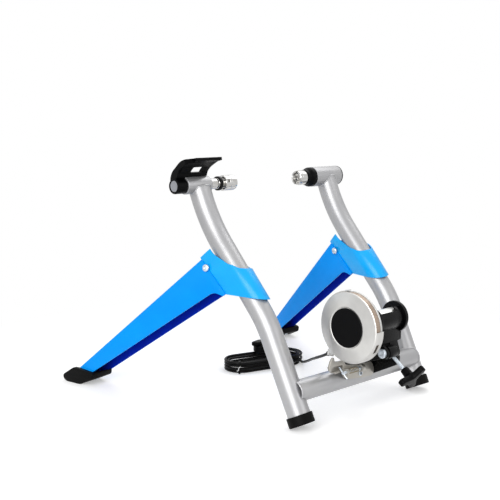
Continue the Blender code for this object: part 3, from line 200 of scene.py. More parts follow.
finishes = {
    # silver powder coat on mild steel tube: pale, part metallic, with one wide soft highlight
    "silver_paint": powderCoat("silverPowderCoat", "#AEAEAF", "#A9A9AB", 0.38, 0.58, 5.0),
    # bright blue powder coat on folded sheet: a strong even colour, more satin than gloss
    "blue_sheet": powderCoat("bluePowderCoat", "#009CFF", "#0097FA", 0.42, 0.0, 5.0, specular=0.15),
    "blue_collar": powderCoat("blueCollarCoat", "#06B0FC", "#04AAF8", 0.3, 0.0, 8.0,
        coat=0.1, peel=0.015, specular=0.3),
    # moulded EPDM rubber: dull black with a faint grey bloom
    "black_rubber": mouldedBlack("mouldedRubber", "#050505", "#080808", 0.5, 3.0, 0.05, 0.08),
    # glass-filled nylon moulding: black with an etched grain
    "black_plastic": mouldedBlack("mouldedNylon", "#030304", "#050506", 0.4, 2.5, 0.03, 0.07),
    # black dip paint on cast and folded steel: slightly glossier than the plastic
    "black_metal": mouldedBlack("blackDipPaint", "#040405", "#070708", 0.3, 5.0, 0.03, 0.14),
    # polished chrome plate: mirror-like with faint turning lines
    "chrome": platedMetal("polishedChrome", "#C9C9C8", "#B4B2AE", 0.12, 3.0),
    # bright zinc plate: bluish silver with soft lines
    "zinc": platedMetal("brightZincPlate", "#D6DEE6", "#C6CED6", 0.32, 3.0, 0.05),
    # satin turned aluminium
    "aluminium": powderCoat("satinAluminium", "#CFCFCD", "#C8C8C6", 0.36, 0.45, 3.0),
    # bare turned steel with an oily brown cast
    "bare_steel": platedMetal("turnedSteel", "#A8988A", "#97877A", 0.4, 2.0),
    # PVC cable jacket: smooth black with a slight sheen
    "cable_jacket": mouldedBlack("cableJacketVinyl", "#030303", "#050505", 0.36, 4.0, 0.02, 0.12),
}
# painted shade: a deeper copy of the leg blue for the faces inside the channel's folds, standing in for the shade
# that falls there
paintedShadeBlue = powderCoat("bluePowderCoatPaintedShade", "#0A30C4", "#082AB8", 0.42, 0.0, 5.0, specular=0.05)
# weld beads carry the same coat over a rippled bead
beadCoat = powderCoat("silverWeldCoat", "#BDBDBE", "#AAAAAC", 0.34, 0.6, 2.0, peel=0.1)
# warm grey coat on the bracket's pressed sheet
warmCoat = powderCoat("warmSilverCoat", "#B2AFA9", "#A9A59D", 0.36, 0.6, 5.0)
# zinc-dipped handle wire and spring wire, warmer than the bolts
springWire = platedMetal("springSteelWire", "#A3977F", "#8A7E68", 0.3, 1.5)
# ground steel roller: nearly white, with fine grinding lines
rollerFace = platedMetal("groundRollerSteel", "#E6E6E4", "#DADAD8", 0.34, 1.5)
# spun aluminium disc in the lever's hub, greyer than the housing
hubAluminium = powderCoat("spunHubAluminium", "#9C9EA4", "#8F9197", 0.34, 0.55, 3.0)
# the housing's turned face, pale with streaks of light from its centre
turnedAluminium = turnedFace("turnedAluminiumFace", "#CFCECB", "#C4C3C0", 0.36)
for nodeName, nodeObject in frame["nodes"].items():
    nodeObject.data.materials.clear()
    nodeObject.data.materials.append(finishes[nodeSlots[nodeName]])
print("materials made")


# Mesh tools
def axesPlace(origin, xAxis, yAxis, zAxis):
    turned4 = Matrix((Vector(xAxis), Vector(yAxis), Vector(zAxis))).transposed().to_4x4()
    return Matrix.Translation(origin) @ turned4


def aimPlace(origin, direction):
    # local Z along the direction
    turn = Vector((0, 0, 1)).rotation_difference(Vector(direction).normalized())
    return Matrix.Translation(origin) @ turn.to_matrix().to_4x4()


def alongX(y, z):
    return Matrix.Translation((0, y, z)) @ Matrix.Rotation(radians(90), 4, "Y")


sideView = axesPlace((0, 0, 0), (0, 1, 0), (0, 0, 1), (1, 0, 0))  # outlines drawn in (Y, Z), thickness along X
unmoved = Matrix.Identity(4)


def arc(centre, radius, start, end, steps):
    turns = [radians(start + (end - start) * k / steps) for k in range(steps + 1)]
    return [(centre[0] + radius * cos(t), centre[1] + radius * sin(t)) for t in turns]


def rounded(points, reach, closed=False, steps=4):
    # every corner becomes a small curve that starts `reach` before it
    line = []
    for index, point in enumerate(points):
        corner = Vector(point)
        if reach <= 0 or (not closed and index in (0, len(points) - 1)):
            line.append(tuple(corner))
            continue
        back = Vector(points[index - 1]) - corner
        ahead = Vector(points[(index + 1) % len(points)]) - corner
        near = min(reach, back.length * 0.45, ahead.length * 0.45)
        first, last = corner + back.normalized() * near, corner + ahead.normalized() * near
        for k in range(steps + 1):
            t = k / steps
            line.append(tuple(first * (1 - t) ** 2 + corner * (2 * t * (1 - t)) + last * t * t))
    return line


def curved(points, closed=False, steps=6):
    # centripetal Catmull-Rom through the points: no overshoot where their spacing changes
    points = [Vector(p) for p in points]
    if closed:
        ends = points[-1:] + points + points[:2]
    else:
        ends = [points[0] * 2 - points[1]] + points + [points[-1] * 2 - points[-2]]
    line = []
    for a, b, c, d in zip(ends, ends[1:], ends[2:], ends[3:]):
        u = sqrt((b - a).length)
        v = u + sqrt((c - b).length)
        w = v + sqrt((d - c).length)
        for k in range(steps):
            t = u + (v - u) * k / steps
            ab, bc, cd = a.lerp(b, t / u), b.lerp(c, (t - u) / (v - u)), c.lerp(d, (t - v) / (w - v))
            line.append(ab.lerp(bc, t / v).lerp(bc.lerp(cd, (t - u) / (w - u)), (t - u) / (v - u)))
    return line if closed else line + [points[-1]]


def evenRoute(knots, spacing):
    # points at one spacing along the curve through the knots
    dense = curved(knots, steps=40)
    total = sum((q - p).length for p, q in zip(dense, dense[1:]))
    count = max(2, round(total / spacing))
    route, walked = [dense[0]], 0.0
    for p, q in zip(dense, dense[1:]):
        piece = (q - p).length
        while len(route) < count and walked + piece >= total / count * len(route):
            route.append(p.lerp(q, (total / count * len(route) - walked) / piece))
        walked += piece
    return route + [dense[-1]]


def closeMesh(bm, place=None):
    bmesh.ops.recalc_face_normals(bm, faces=bm.faces)
    mesh = bpy.data.meshes.new("shape")
    bm.to_mesh(mesh)
    bm.free()
    if place is not None:
        mesh.transform(place)
    return mesh


def facesBetween(rows, closed):
    # faces between each row of points and the next; closed rows are rings
    bm = bmesh.new()
    made = [[bm.verts.new(point) for point in row] for row in rows]
    for one, two in zip(made, made[1:]):
        for k in range(len(one) if closed else len(one) - 1):
            n = (k + 1) % len(one)
            bm.faces.new((one[k], one[n], two[n], two[k]))
    return bm, made


def loft(rows, place=None, welded=False):
    # rings joined one to the next, with capped ends, or with ends that meet and are welded
    bm, rings = facesBetween(rows, True)
    if welded:
        bmesh.ops.remove_doubles(bm, verts=bm.verts, dist=1e-6)
    else:
        bm.faces.new(rings[0])
        bm.faces.new(rings[-1])
    return closeMesh(bm, place)


def ring(spot, first, second, size, count):
    turns = [2 * pi * k / count for k in range(count)]
    return [spot + (first * cos(t) + second * sin(t)) * size for t in turns]


def turned(profile, place, fillet=0.0004, steps=72):
    # a profile of (radius, height) points spun round local Z; it closes on itself unless it starts on the axis
    closed = profile[0][0] > 1e-7
    bm = bmesh.new()
    rows = []
    for radius, height in rounded(profile, fillet, closed=closed):
        turns = [2 * pi * k / steps for k in range(steps)] if radius > 1e-7 else [0.0]
        rows.append([bm.verts.new((radius * cos(t), radius * sin(t), height)) for t in turns])
    for first, second in zip(rows, rows[1:] + rows[:1] if closed else rows[1:]):
        for k in range(steps):
            n = (k + 1) % steps
            corners = [row[spot % len(row)] for row, spot in ((first, k), (first, n), (second, n), (second, k))]
            corners = list(dict.fromkeys(corners))
            if len(corners) > 2:
                bm.faces.new(corners)
    return closeMesh(bm, place)


def ringProfile(bore, radius, low, high):
    return [(bore, high), (radius, high), (radius, low), (bore, low)]


def rod(radius, low, high, place, edge=0.0006, steps=64):
    return turned(ringProfile(0, radius, low, high), place, fillet=edge, steps=steps)


def swept(path, radius, sides=32):
    # a capped tube whose section is carried along the path without twisting
    path = [Vector(p) for p in path]
    rows = []
    side = path[1] - path[0]
    side = side.normalized().orthogonal().normalized()
    for index, point in enumerate(path):
        ahead = (path[min(index + 1, len(path) - 1)] - path[max(index - 1, 0)]).normalized()
        side = (side - ahead * side.dot(ahead)).normalized()
        rows.append(ring(point, side, ahead.cross(side), radius, sides))
    return loft(rows)


def meshFrom(maker):
    # the finished mesh of an object with its modifiers, or of a curve
    pieceShelf.objects.link(maker)
    bpy.context.view_layer.update()
    mesh = bpy.data.meshes.new_from_object(maker.evaluated_get(bpy.context.evaluated_depsgraph_get()))
    bpy.data.objects.remove(maker, do_unlink=True)
    return mesh


def plate(loops, low, high, place, edge=0.0005):
    # flat outlines with holes, extruded along local Z with softened edges
    outline = bpy.data.curves.new("outline", "CURVE")
    setFields(outline, dimensions="2D", fill_mode="BOTH", extrude=(high - low) / 2 - edge,
        bevel_depth=edge, bevel_resolution=2, offset=-edge)
    for loop in loops:
        spline = outline.splines.new("POLY")
        spline.points.add(len(loop) - 1)
        for point, corner in zip(spline.points, loop):
            point.co = (corner[0], corner[1], 0.0, 1.0)
        spline.use_cyclic_u = True
    bm = bmesh.new()
    bm.from_mesh(meshFrom(bpy.data.objects.new("outline", outline)))
    bmesh.ops.remove_doubles(bm, verts=bm.verts, dist=2e-6)
    return closeMesh(bm, place @ Matrix.Translation((0, 0, (low + high) / 2)))


def slab(outline, low, high, edge):
    # a plate drawn in (Y, Z), with its thickness along X
    return plate([outline], low, high, sideView, edge=edge)


def prism(loop, low, high, place):
    return loft([[(x, y, z) for x, y in loop] for z in (low, high)], place)


def block(low, high, place, edge=0.0005):
    corners = [(low[0], low[1]), (high[0], low[1]), (high[0], high[1]), (low[0], high[1])]
    return plate([corners], low[2], high[2], place, edge=edge)


def carve(mesh, *tools, operation="DIFFERENCE"):
    body = bpy.data.objects.new("carvedBody", mesh)
    helpers = []
    for tool in tools:
        helper = bpy.data.objects.new("carvingTool", tool)
        pieceShelf.objects.link(helper)
        helpers.append(helper)
        setFields(body.modifiers.new("carve", "BOOLEAN"), operation=operation, solver="EXACT", object=helper)
    result = meshFrom(body)
    for helper in helpers:
        bpy.data.objects.remove(helper, do_unlink=True)
    return result


def softened(mesh, width, segments=2, degrees=40):
    body = bpy.data.objects.new("softBody", mesh)
    setFields(body.modifiers.new("edge", "BEVEL"), width=width, segments=segments, limit_method="ANGLE",
        angle_limit=radians(degrees), harden_normals=False)
    return meshFrom(body)


def joined(*meshes):
    bm = bmesh.new()
    for mesh in meshes:
        bm.from_mesh(mesh)
    whole = bpy.data.meshes.new("joined")
    bm.to_mesh(whole)
    bm.free()
    return whole


def makePiece(name, mesh, *replaced, finish=None, body="frame", sharp=38):
    # mesh is in the drawing's frame; the piece rides on the body and stands for the CAD nodes it replaces,
    # whose finish it takes where no other is given
    mesh.name = name
    mesh.transform(toPart)
    for coat in finish or [finishes[nodeSlots[replaced[0]]]]:
        mesh.materials.append(coat)
    mesh.shade_smooth()
    mesh.set_sharp_from_angle(angle=radians(sharp))
    piece = bpy.data.objects.new(name, mesh)
    pieceShelf.objects.link(piece)
    if body:
        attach(piece, body)
    if replaced:
        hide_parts(*replaced)
    return piece


def spun(name, node, body, place, fillet, steps, *profile, finish=None):
    # a piece turned from one profile in millimetres
    makePiece(name, turned(mm(*profile), place, fillet=fillet, steps=steps), node, finish=finish, body=body)


# Control cable: out of its stop on the housing, down to the floor, round an oval coil and into the remote
cable = {"radius": 0.0025, "length": 2.76, "stopEnd": (-0.075, -0.12, 0.107), "stopWay": (0.3, 0.86, -0.41),
    "lead": 0.005, "sink": 0.01, "rise": 0.003, "spacing": 0.011, "tailSpacing": 0.008, "fineSpacing": 0.0035}
coil = {"centre": (0.055, 0.168), "tilt": -15.0, "endRadius": 0.034, "halfRun": 0.049, "pitch": 0.0056,
    "rise": 0.0056, "layers": 4, "turnsALayer": 1.5, "climb": 0.5, "lift": 0.0012, "start": -30.0,
    "arcPoints": 8, "runPoints": 4, "extraPoints": 3}
remote = {"place": (0.07, 0.188, 0.0238), "entryWay": (0.35, 0.94, 0.0), "entryReach": 0.027, "entryRise": 0.0065}
remoteSpot = Vector(remote["place"])
entryWay = Vector(remote["entryWay"]).normalized()
entry = remoteSpot + Vector((0, 0, remote["entryRise"])) + entryWay * remote["entryReach"]
coilLong = Vector((cos(radians(coil["tilt"])), sin(radians(coil["tilt"])), 0.0))
coilSide = Vector((-coilLong.y, coilLong.x, 0.0))
coilCentre = Vector((*coil["centre"], 0.0))
halfPoints = coil["arcPoints"] + coil["runPoints"]
turnPoints = 2 * halfPoints


def coilPoint(turn):
    # an oval of two half circles and two straights whose inset swings in and out as the layers climb
    layer = min(int(turn / coil["turnsALayer"]), coil["layers"] - 1)
    inside = turn - layer * coil["turnsALayer"]
    inset = inside if layer % 2 == 0 else coil["turnsALayer"] - inside
    nearest = round(turn / coil["turnsALayer"])
    height = layer
    if 0 < nearest < coil["layers"]:
        climbed = (turn - nearest * coil["turnsALayer"]) / coil["climb"] + 0.5
        if 0.0 <= climbed <= 1.0:
            height = nearest - 1 + climbed
    radius = coil["endRadius"] - coil["pitch"] * inset
    step = ((turn % 1.0) * turnPoints + (coil["start"] + 90.0) / 180.0 * coil["arcPoints"]) % turnPoints
    end = 1.0
    if step >= halfPoints:
        step, end = step - halfPoints, -1.0
    if step <= coil["arcPoints"]:
        angle = radians(-90.0 + 180.0 * step / coil["arcPoints"])
        x, y = coil["halfRun"] + radius * cos(angle), radius * sin(angle)
    else:
        x, y = coil["halfRun"] - 2 * coil["halfRun"] * (step - coil["arcPoints"]) / coil["runPoints"], radius
    point = coilCentre + coilLong * (x * end) + coilSide * (y * end)
    point.z = coil["lift"] + cable["radius"] + coil["rise"] * height
    return point


coilTurns = coil["layers"] * coil["turnsALayer"] + coil["extraPoints"] / turnPoints
coilPoints = [coilPoint(k / turnPoints) for k in range(round(coilTurns * turnPoints) + 1)]
tailBend = {"radius": 0.0126, "reach": 0.002, "turns": (110, 74, 38, 0), "drop": 0.0045, "lead": 0.012}
stopWay = Vector(cable["stopWay"]).normalized()
stopEnd = Vector(cable["stopEnd"])
leadIn = (coilPoints[1] - coilPoints[0]).normalized()
leadOut = (coilPoints[-1] - coilPoints[-2]).normalized()
runEnd = coilPoints[0] - leadIn * cable["lead"]
runKnots = [stopEnd, stopEnd + stopWay * tailBend["lead"], (-0.049, -0.07, 0.085), (-0.0016, -0.0162, 0.0624),
    (0.0358, 0.031, 0.0418), (0.0735, 0.076, 0.0235), (0.099, 0.1035, 0.0135),
    runEnd - leadIn * cable["sink"] + Vector((0, 0, cable["rise"]))]
tailStart = coilPoints[-1] + leadOut * cable["lead"]
# the tail swings round to the remote's entry in one open bend
bendSide = Vector((entryWay.y, -entryWay.x, 0.0))
bendCentre = entry + entryWay * tailBend["reach"] + bendSide * tailBend["radius"]
tailKnots = [tailStart + leadOut * tailBend["lead"]]
for turn in tailBend["turns"]:
    knot = bendCentre - Matrix.Rotation(radians(-turn), 3, "Z") @ bendSide * tailBend["radius"]
    knot.z -= tailBend["drop"] * turn / tailBend["turns"][0]
    tailKnots.append(knot)
tailKnots.append(entry)
cablePath = evenRoute(runKnots + [runEnd], cable["spacing"]) + coilPoints
cablePath += evenRoute([tailStart] + tailKnots, cable["tailSpacing"])
for point in cablePath:
    point.z = max(point.z, cable["radius"] + gap)
finePath = evenRoute(cablePath, cable["fineSpacing"])
controlCable = makePiece("controlCable", swept(finePath, cable["radius"], sides=14),
    "cable_run", "cable_coil", "cable_tail", body=None, sharp=60)
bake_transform(controlCable)
tie = {"angle": 56.25, "sheet": 0.0008, "width": 0.0034, "low": 0.0009, "corner": 0.0042, "wire": 0.0008}
tieTurn = radians(tie["angle"])
tieOut = coilLong * -cos(tieTurn) - coilSide * sin(tieTurn)
tieHigh = coil["lift"] + 2 * cable["radius"] + coil["rise"] * (coil["layers"] - 1) + gap
tieNear = coil["endRadius"] - coil["pitch"] * coil["turnsALayer"] - cable["radius"] - 0.001
tieFar = coil["endRadius"] + cable["radius"] + gap
tiePlace = axesPlace(coilCentre - coilLong * coil["halfRun"], tieOut, (0, 0, 1), tieOut.cross(Vector((0, 0, 1))))
tieLoops = []
for grow in (tie["sheet"], 0.0):
    near, far, low, high = tieNear - grow, tieFar + grow, tie["low"] - grow, tieHigh + grow
    corners = [(far, high), (near, high), (near, low), (far, low)]
    tieLoops.append(rounded(corners, tie["corner"], closed=True, steps=6))
tieMesh = plate(tieLoops, -tie["width"] / 2, tie["width"] / 2, tiePlace, edge=0.0002)
cableTie = makePiece("cableTie", tieMesh, "cable_tie", finish=[finishes["black_plastic"]])
hookKnots = [(tieFar + 0.0008, 0.015, -0.003), (tieFar + 0.0022, 0.0148, -0.0006), (tieFar + 0.0026, 0.012, 0.0008),
    (tieFar + 0.0026, 0.009, 0.0014), (tieFar + 0.0022, 0.0072, 0.004)]
hookPath = curved([tiePlace @ Vector(p) for p in hookKnots])
tieHook = makePiece("tieHook", swept(hookPath, tie["wire"], sides=12), "cable_tie")
pathLength = sum((q - p).length for p, q in zip(cablePath, cablePath[1:]))
print("cable laid, %.3f m along its path" % pathLength)


# Frame tubes: two bent uprights, the crossbar, head tubes, weld beads, caps and plug
tubes = {"radius": 0.019, "headY": 0.104, "headZ": 0.377, "bendHigh": (0.079, 0.3155), "bendLow": (-0.0605, 0.162),
    "footY": -0.141, "halfFloor": 0.1517, "halfHead": 0.1615, "reachHigh": 0.05, "reachLow": 0.028,
    "bendSteps": 18, "footRise": 0.0131, "sides": 72}
heads = {"left": {"side": -1, "outer": 0.015, "bore": 0.01, "low": -0.1942, "high": -0.1418, "drop": 0.007},
    "right": {"side": 1, "outer": 0.0188, "bore": 0.017, "low": 0.1206, "high": 0.1904, "drop": 0.005}}
bar = {"y": -0.1203, "z": 0.0587, "radius": 0.01775, "bore": 0.016, "end": 0.1535}
headAxis = alongX(tubes["headY"], tubes["headZ"])


def uprightX(side, z):
    return side * (tubes["halfFloor"] + (tubes["halfHead"] - tubes["halfFloor"]) * z / tubes["headZ"])


def uprightKnots(side):
    stations = [(tubes["headY"], tubes["headZ"]), tubes["bendHigh"], tubes["bendLow"], (tubes["footY"], 0.0)]
    return [Vector((uprightX(side, z), y, z)) for y, z in stations]


def uprightRoute(side, topDrop):
    head, high, low, foot = uprightKnots(side)
    knots = [head + (high - head).normalized() * topDrop, high, low,
        foot + (low - foot).normalized() * tubes["footRise"]]
    route = [knots[0]]
    for before, corner, after, reach in zip(knots, knots[1:], knots[2:], (tubes["reachHigh"], tubes["reachLow"])):
        back, ahead = (before - corner).normalized(), (after - corner).normalized()
        half = back.angle(ahead) / 2
        middle = corner + (back + ahead).normalized() * (reach / cos(half))
        start, end = corner + back * reach - middle, corner + ahead * reach - middle
        sweep = start.angle(end)
        for k in range(tubes["bendSteps"] + 1):
            share = k / tubes["bendSteps"]
            a, b = sin((1 - share) * sweep) / sin(sweep), sin(share * sweep) / sin(sweep)
            route.append(middle + (start * a + end * b).normalized() * start.length)
    return route + [knots[-1]]


def weldBead(centre, along, radius, linePoint, lineWay, lineRadius, outermost):
    # a rippled bead where the surface of one tube, walked along its axis, meets the surface of another
    bead = {"size": 0.0013, "steps": 144, "sides": 12, "ripples": ((0.1, 46, 0), (0.05, 17, 1))}
    along, lineWay = Vector(along).normalized(), Vector(lineWay).normalized()
    first = along.orthogonal().normalized()
    other = along.cross(first)
    rows = []
    for k in range(bead["steps"] + 1):
        turn = radians(360 * k / bead["steps"])
        out = first * cos(turn) + other * sin(turn)
        skin = Vector(centre) + out * radius - Vector(linePoint)
        skin -= lineWay * skin.dot(lineWay)
        walk = along - lineWay * along.dot(lineWay)
        a, b, c = walk.length_squared, 2 * skin.dot(walk), skin.length_squared - lineRadius ** 2
        room = b * b - 4 * a * c
        reach = outermost if room < 0 else (-b + sqrt(room)) / (2 * a)
        spot = Vector(centre) + out * radius + along * max(reach, outermost)
        swell = 1 + sum(share * sin(turn * waves + start) for share, waves, start in bead["ripples"])
        rows.append(ring(spot, out, along, bead["size"] * swell, bead["sides"]))
    return loft(rows, welded=True)


footCap = mm((0, 30), (16.6, 30), (16.6, 12.8), (19.3, 12.8), (19.3, 25.5), (21.4, 25.5), (21.8, 24.9), (21.8, 9.8),
    (20.8, 8.8), (0, 8.8))
for where, head in heads.items():
    side = head["side"]
    top, high, low, foot = uprightKnots(side)
    tube = swept(uprightRoute(side, head["drop"]), tubes["radius"], sides=tubes["sides"])
    bore = rod(head["outer"] - 0.0004, head["low"] - 0.02, head["high"] + 0.02, headAxis, edge=0)
    makePiece(where + "Upright", carve(tube, bore), "upright_" + where)
    headRing = ringProfile(head["bore"], head["outer"], head["low"], head["high"])
    makePiece(where + "HeadTube", turned(headRing, headAxis, fillet=0.0012, steps=96), "head_tube_" + where)
    bead = weldBead(top, high - top, tubes["radius"], top, (1, 0, 0), head["outer"], head["drop"])
    makePiece(where + "HeadWeld", bead, finish=[beadCoat], sharp=80)
    # square-ended rubber cap with a band round the tube, cut flat where it stands
    capMesh = turned(footCap, aimPlace(foot, low - foot), fillet=0.0005, steps=96)
    floorCut = block((-0.1, -0.1, -0.1), (0.1, 0.1, 0.0), Matrix.Translation(foot), edge=0.0)
    makePiece(where + "FootCap", carve(capMesh, floorCut), "foot_cap_" + where)
    # bead where the crossbar runs into the upright
    barStart = (uprightX(side, bar["z"]), bar["y"], bar["z"])
    barBead = weldBead(barStart, (-side, 0, 0), bar["radius"], low, foot - low, tubes["radius"], 0.0)
    makePiece(where + "BarWeld", barBead, finish=[beadCoat], sharp=80)

barProfile = ringProfile(bar["bore"], bar["radius"], -bar["end"], bar["end"])
makePiece("crossbarTube", turned(barProfile, alongX(bar["y"], bar["z"]), fillet=0.0005, steps=96), "crossbar")
spun("rightEndPlug", "end_plug_right", "frame", headAxis, 0.001, 96, (0, 195.9), (12, 195.7), (16.5, 194.5),
    (18.6, 192.8), (18.8, 190.8), (16.6, 190.8), (16.4, 181), (0, 181))
print("frame tubes made")


# Folding legs: collar, pressed channel, rubber boot, hinge bolt and nut
leg = {"height": 0.2385, "way": (0.237, 0.715, -0.658), "hinge": (0.036, 0.032), "half": 0.023, "sheet": 0.0016,
    "fold": 0.004, "collarSheet": 0.0018, "collarInner": 0.0193, "collarShift": 0.003}
legSide = mm((38, 80), (38, 47.4), (35.7, 47.4), (29, -25), (30.5, -26.8), (35, -26), (40, -19), (46, -12),
    (54, -8.4), (392, 35.9), (418, 59.4), (430, 80))
collarNose = arc(leg["hinge"], 0.0162, -62, 84, 24)
collarSide = mm((13, 55), (12.4, 45), (7.3, 33), (-3, 12), (-8, 7), (-15, -5), (-26.5, -14), (-26.5, -76.4),
    (3, -50), (30, -25.9))
collarSide = rounded(collarSide, 0.0045, steps=5) + collarNose + [(0.0377, 0.055)]


def legPlace(side):
    head, high, low, foot = uprightKnots(side)
    tAxis = (high - low).normalized()
    origin = low + (high - low) * ((leg["height"] - low.z) / (high.z - low.z))
    way = Vector(leg["way"]).normalized()
    nAxis = Vector((side * way.x, way.y, way.z)).cross(tAxis).normalized()
    return axesPlace(origin, tAxis.cross(nAxis), tAxis, nAxis)


def strip(rows, sheet, offset):
    # an open section carried through its rows of points and given the sheet's thickness
    bm = facesBetween(rows, False)[0]
    mesh = bpy.data.meshes.new("strip")
    bm.to_mesh(mesh)
    bm.free()
    body = bpy.data.objects.new("strip", mesh)
    setFields(body.modifiers.new("sheet", "SOLIDIFY"), thickness=sheet, offset=offset, use_even_offset=True)
    return meshFrom(body)


turns = [radians(a) for a in range(0, 91, 10)]
foldArc = [(0.051 - leg["fold"] + leg["fold"] * sin(t), -leg["half"] + leg["fold"] - leg["fold"] * cos(t))
    for t in turns]
channelSection = [(-0.04, -leg["half"])] + foldArc
channelSection += [(y, -z) for y, z in reversed(channelSection)]
channelEnds = ((0.02, 0.0), (0.44, 0.0084))
collarMiddle = leg["collarInner"] + leg["collarSheet"] / 2
turns = [radians(a) for a in range(-90, -271, -5)]
collarSection = [(0.06, -collarMiddle)]
collarSection += [(-leg["collarShift"] + collarMiddle * cos(t), collarMiddle * sin(t)) for t in turns]
collarSection += [(0.06, collarMiddle)]
collarEnds = (-0.1, 0.07)
boot = {"lean": 0.0365, "half": 0.0265, "edge": 0.0028, "treads": (0.326, 0.332, 0.338, 0.344, 0.35),
    "treadHalf": 0.0009, "treadReach": 0.021, "slope": (0.0336, -0.015), "screwAt": 0.301}
bootSide = mm((287.1, 15), (320.7, 0), (355.2, 0), (363, 3.5), (365.5, 10), (363, 14), (338.5, 29.5), (330, 30),
    (288.5, 26.8), (286.2, 24))
bootHollow = mm((330, 27), (392.5, 35), (419, 59.6), (419, 80), (330, 80))
screwHead = mm((0, 1.2), (0.8, 1.2), (1.2, 2.2), (2.8, 2), (3.8, 1), (3.8, 0.3), (0, 0.3))
hinge = {"hole": 0.0043, "reach": 0.04}
outside = leg["half"] + gap
boltProfile = [(0, 0.0335), (0.0032, 0.0335), (0.004, 0.0327), (0.004, -outside), (0.0066, -outside),
    (0.0066, -outside - 0.0016), (0.0058, -outside - 0.0034), (0.0036, -outside - 0.0047), (0, -outside - 0.005)]
insertProfile = [(0.0041, outside + 0.0066), (0.0055, outside + 0.0066), (0.0058, outside + 0.005),
    (0.0041, outside + 0.005)]

for where, side in (("left", -1), ("right", 1)):
    place = legPlace(side)
    body = "leg_" + where
    drillPlace = Matrix.Translation((*leg["hinge"], 0))
    atHinge = place @ drillPlace
    collarMesh = strip([[(a, y, b) for a, b in collarSection] for y in collarEnds], leg["collarSheet"], 0.0)
    collarMesh.transform(place)
    collarMesh = carve(collarMesh, plate([collarSide], -0.03, 0.03, place, edge=0.0), operation="INTERSECT")
    collarMesh = carve(collarMesh, rod(hinge["hole"], -hinge["reach"], hinge["reach"], atHinge, edge=0, steps=32))
    makePiece(where + "LegCollar", softened(collarMesh, 0.0004), "leg_collar_" + where)

    channelRows = [[(x, a + rise, b) for a, b in channelSection] for x, rise in channelEnds]
    channelMesh = strip(channelRows, leg["sheet"], -1.0)
    sideBlock = plate([rounded(legSide, 0.003, closed=True)], -0.03, 0.03, unmoved, edge=0.0)
    channelMesh = carve(channelMesh, sideBlock, operation="INTERSECT")
    drill = rod(hinge["hole"], -hinge["reach"], hinge["reach"], drillPlace, edge=0, steps=32)
    channelMesh = carve(channelMesh, drill)
    channelMesh = softened(channelMesh, 0.0005)
    # painted shade: the faces inside the channel take the deeper blue that stands in for the shade inside the folds
    for face in channelMesh.polygons:
        inwards = face.normal.z * (1 if face.center.z < 0 else -1)
        lowTop = face.normal.y < -0.5 and abs(face.center.z) < leg["half"] - leg["sheet"] - 0.0005
        face.material_index = 1 if inwards > 0.5 and abs(face.center.z) < leg["half"] - 0.001 or lowTop else 0
    channelMesh.transform(place)
    # second coat: the deeper blue of painted shade for the inner faces
    channelCoats = [finishes["blue_sheet"], paintedShadeBlue]
    makePiece(where + "LegChannel", channelMesh, "leg_channel_" + where, finish=channelCoats, body=body)

    # boot: rubber shoe along the leg's heading on the floor, hollow for the channel, with cross treads below
    heading = place.col[2].to_3d().cross(Vector((0, 0, 1))).normalized()
    heading = heading if heading.y > 0 else -heading
    floorSpot = (place.translation.x, place.translation.y, 0)
    floorPlace = axesPlace(floorSpot, heading, (0, 0, 1), heading.cross(Vector((0, 0, 1))))
    lean = side * boot["lean"]
    shoeSide = rounded(bootSide, 0.0035, closed=True, steps=5)
    shoe = plate([shoeSide], lean - boot["half"], lean + boot["half"], floorPlace, edge=boot["edge"])
    hollowMesh = plate([bootHollow], -leg["half"] - 0.0004, leg["half"] + 0.0004, place, edge=0.0)
    treads = []
    for x in boot["treads"]:
        start = (x - boot["treadHalf"], -0.001, lean - boot["treadReach"])
        end = (x + boot["treadHalf"], 0.0009, lean + boot["treadReach"])
        treads.append(block(start, end, floorPlace, edge=0.0))
    makePiece(where + "LegBoot", carve(shoe, hollowMesh, joined(*treads)), "leg_boot_" + where, body=body)
    slope = Vector((*boot["slope"], 0.0)).normalized()
    run, fall = boot["slope"]
    spot = Vector((boot["screwAt"], bootSide[0][1] + (boot["screwAt"] - bootSide[0][0]) * fall / run, lean))
    under = floorPlace @ Matrix.Translation(spot) @ aimPlace((0, 0, 0), (slope.y, -slope.x, 0.0))
    screwMesh = turned(screwHead, under, fillet=0.0002, steps=40)
    makePiece(where + "BootScrew", screwMesh, "boot_screw_" + where, body=body)

    # hinge bolt with a domed socket head, and a chamfered nut with its insert ring
    socket = plate([arc((0, 0), 0.0024, 0, 300, 5)], -outside - 0.008, -outside - 0.0026, atHinge, edge=0.0)
    boltMesh = carve(turned(boltProfile, atHinge, fillet=0.0006), socket)
    makePiece(where + "HingeBolt", boltMesh, "hinge_bolt_" + where)
    nutLoops = [arc((0, 0), 0.0073, 0, 300, 5), arc((0, 0), 0.0041, 0, 350, 35)]
    nutBody = plate(nutLoops, outside, outside + 0.0052, atHinge, edge=0.0007)
    insert = turned(insertProfile, atHinge, steps=48)
    makePiece(where + "HingeNut", joined(nutBody, insert), "hinge_nut_" + where)
print("legs made")


# Left axle clamp: moulded lever on its hub, spindle, lock ring and cup
clamp = {"paddleLow": -0.213, "paddleHigh": -0.147, "panel": (0, -0.0165, 0.0318), "rib": 0.0014, "trimTurn": -24}
hubProfile = mm((9.8, -194.6), (12.4, -194.6), (13.2, -195.6), (13.2, -214.4), (12, -216.4), (10.2, -216.4),
    (10, -215), (10, -207.7), (9.8, -207.5))
hubMesh = turned(hubProfile, headAxis, fillet=0.0006, steps=96)
headSpot = Vector((0, tubes["headY"], tubes["headZ"]))
paddleOuter = mm((12, 2), (12.2, 13), (7, 24), (-1.5, 31.5), (-15, 42), (-31, 47), (-44, 48.8))
paddleInner = mm((-45, 43.6), (-34, 40.8), (-27, 37.3), (-15, 30.3), (-8, 23.3), (-5, 16), (-3, 11))
headSide = axesPlace(headSpot, (0, 1, 0), (0, 0, 1), (1, 0, 0))
paddleLoop = [(p.x, p.y) for edge in (paddleOuter, paddleInner) for p in curved([(*q, 0) for q in edge], steps=4)]
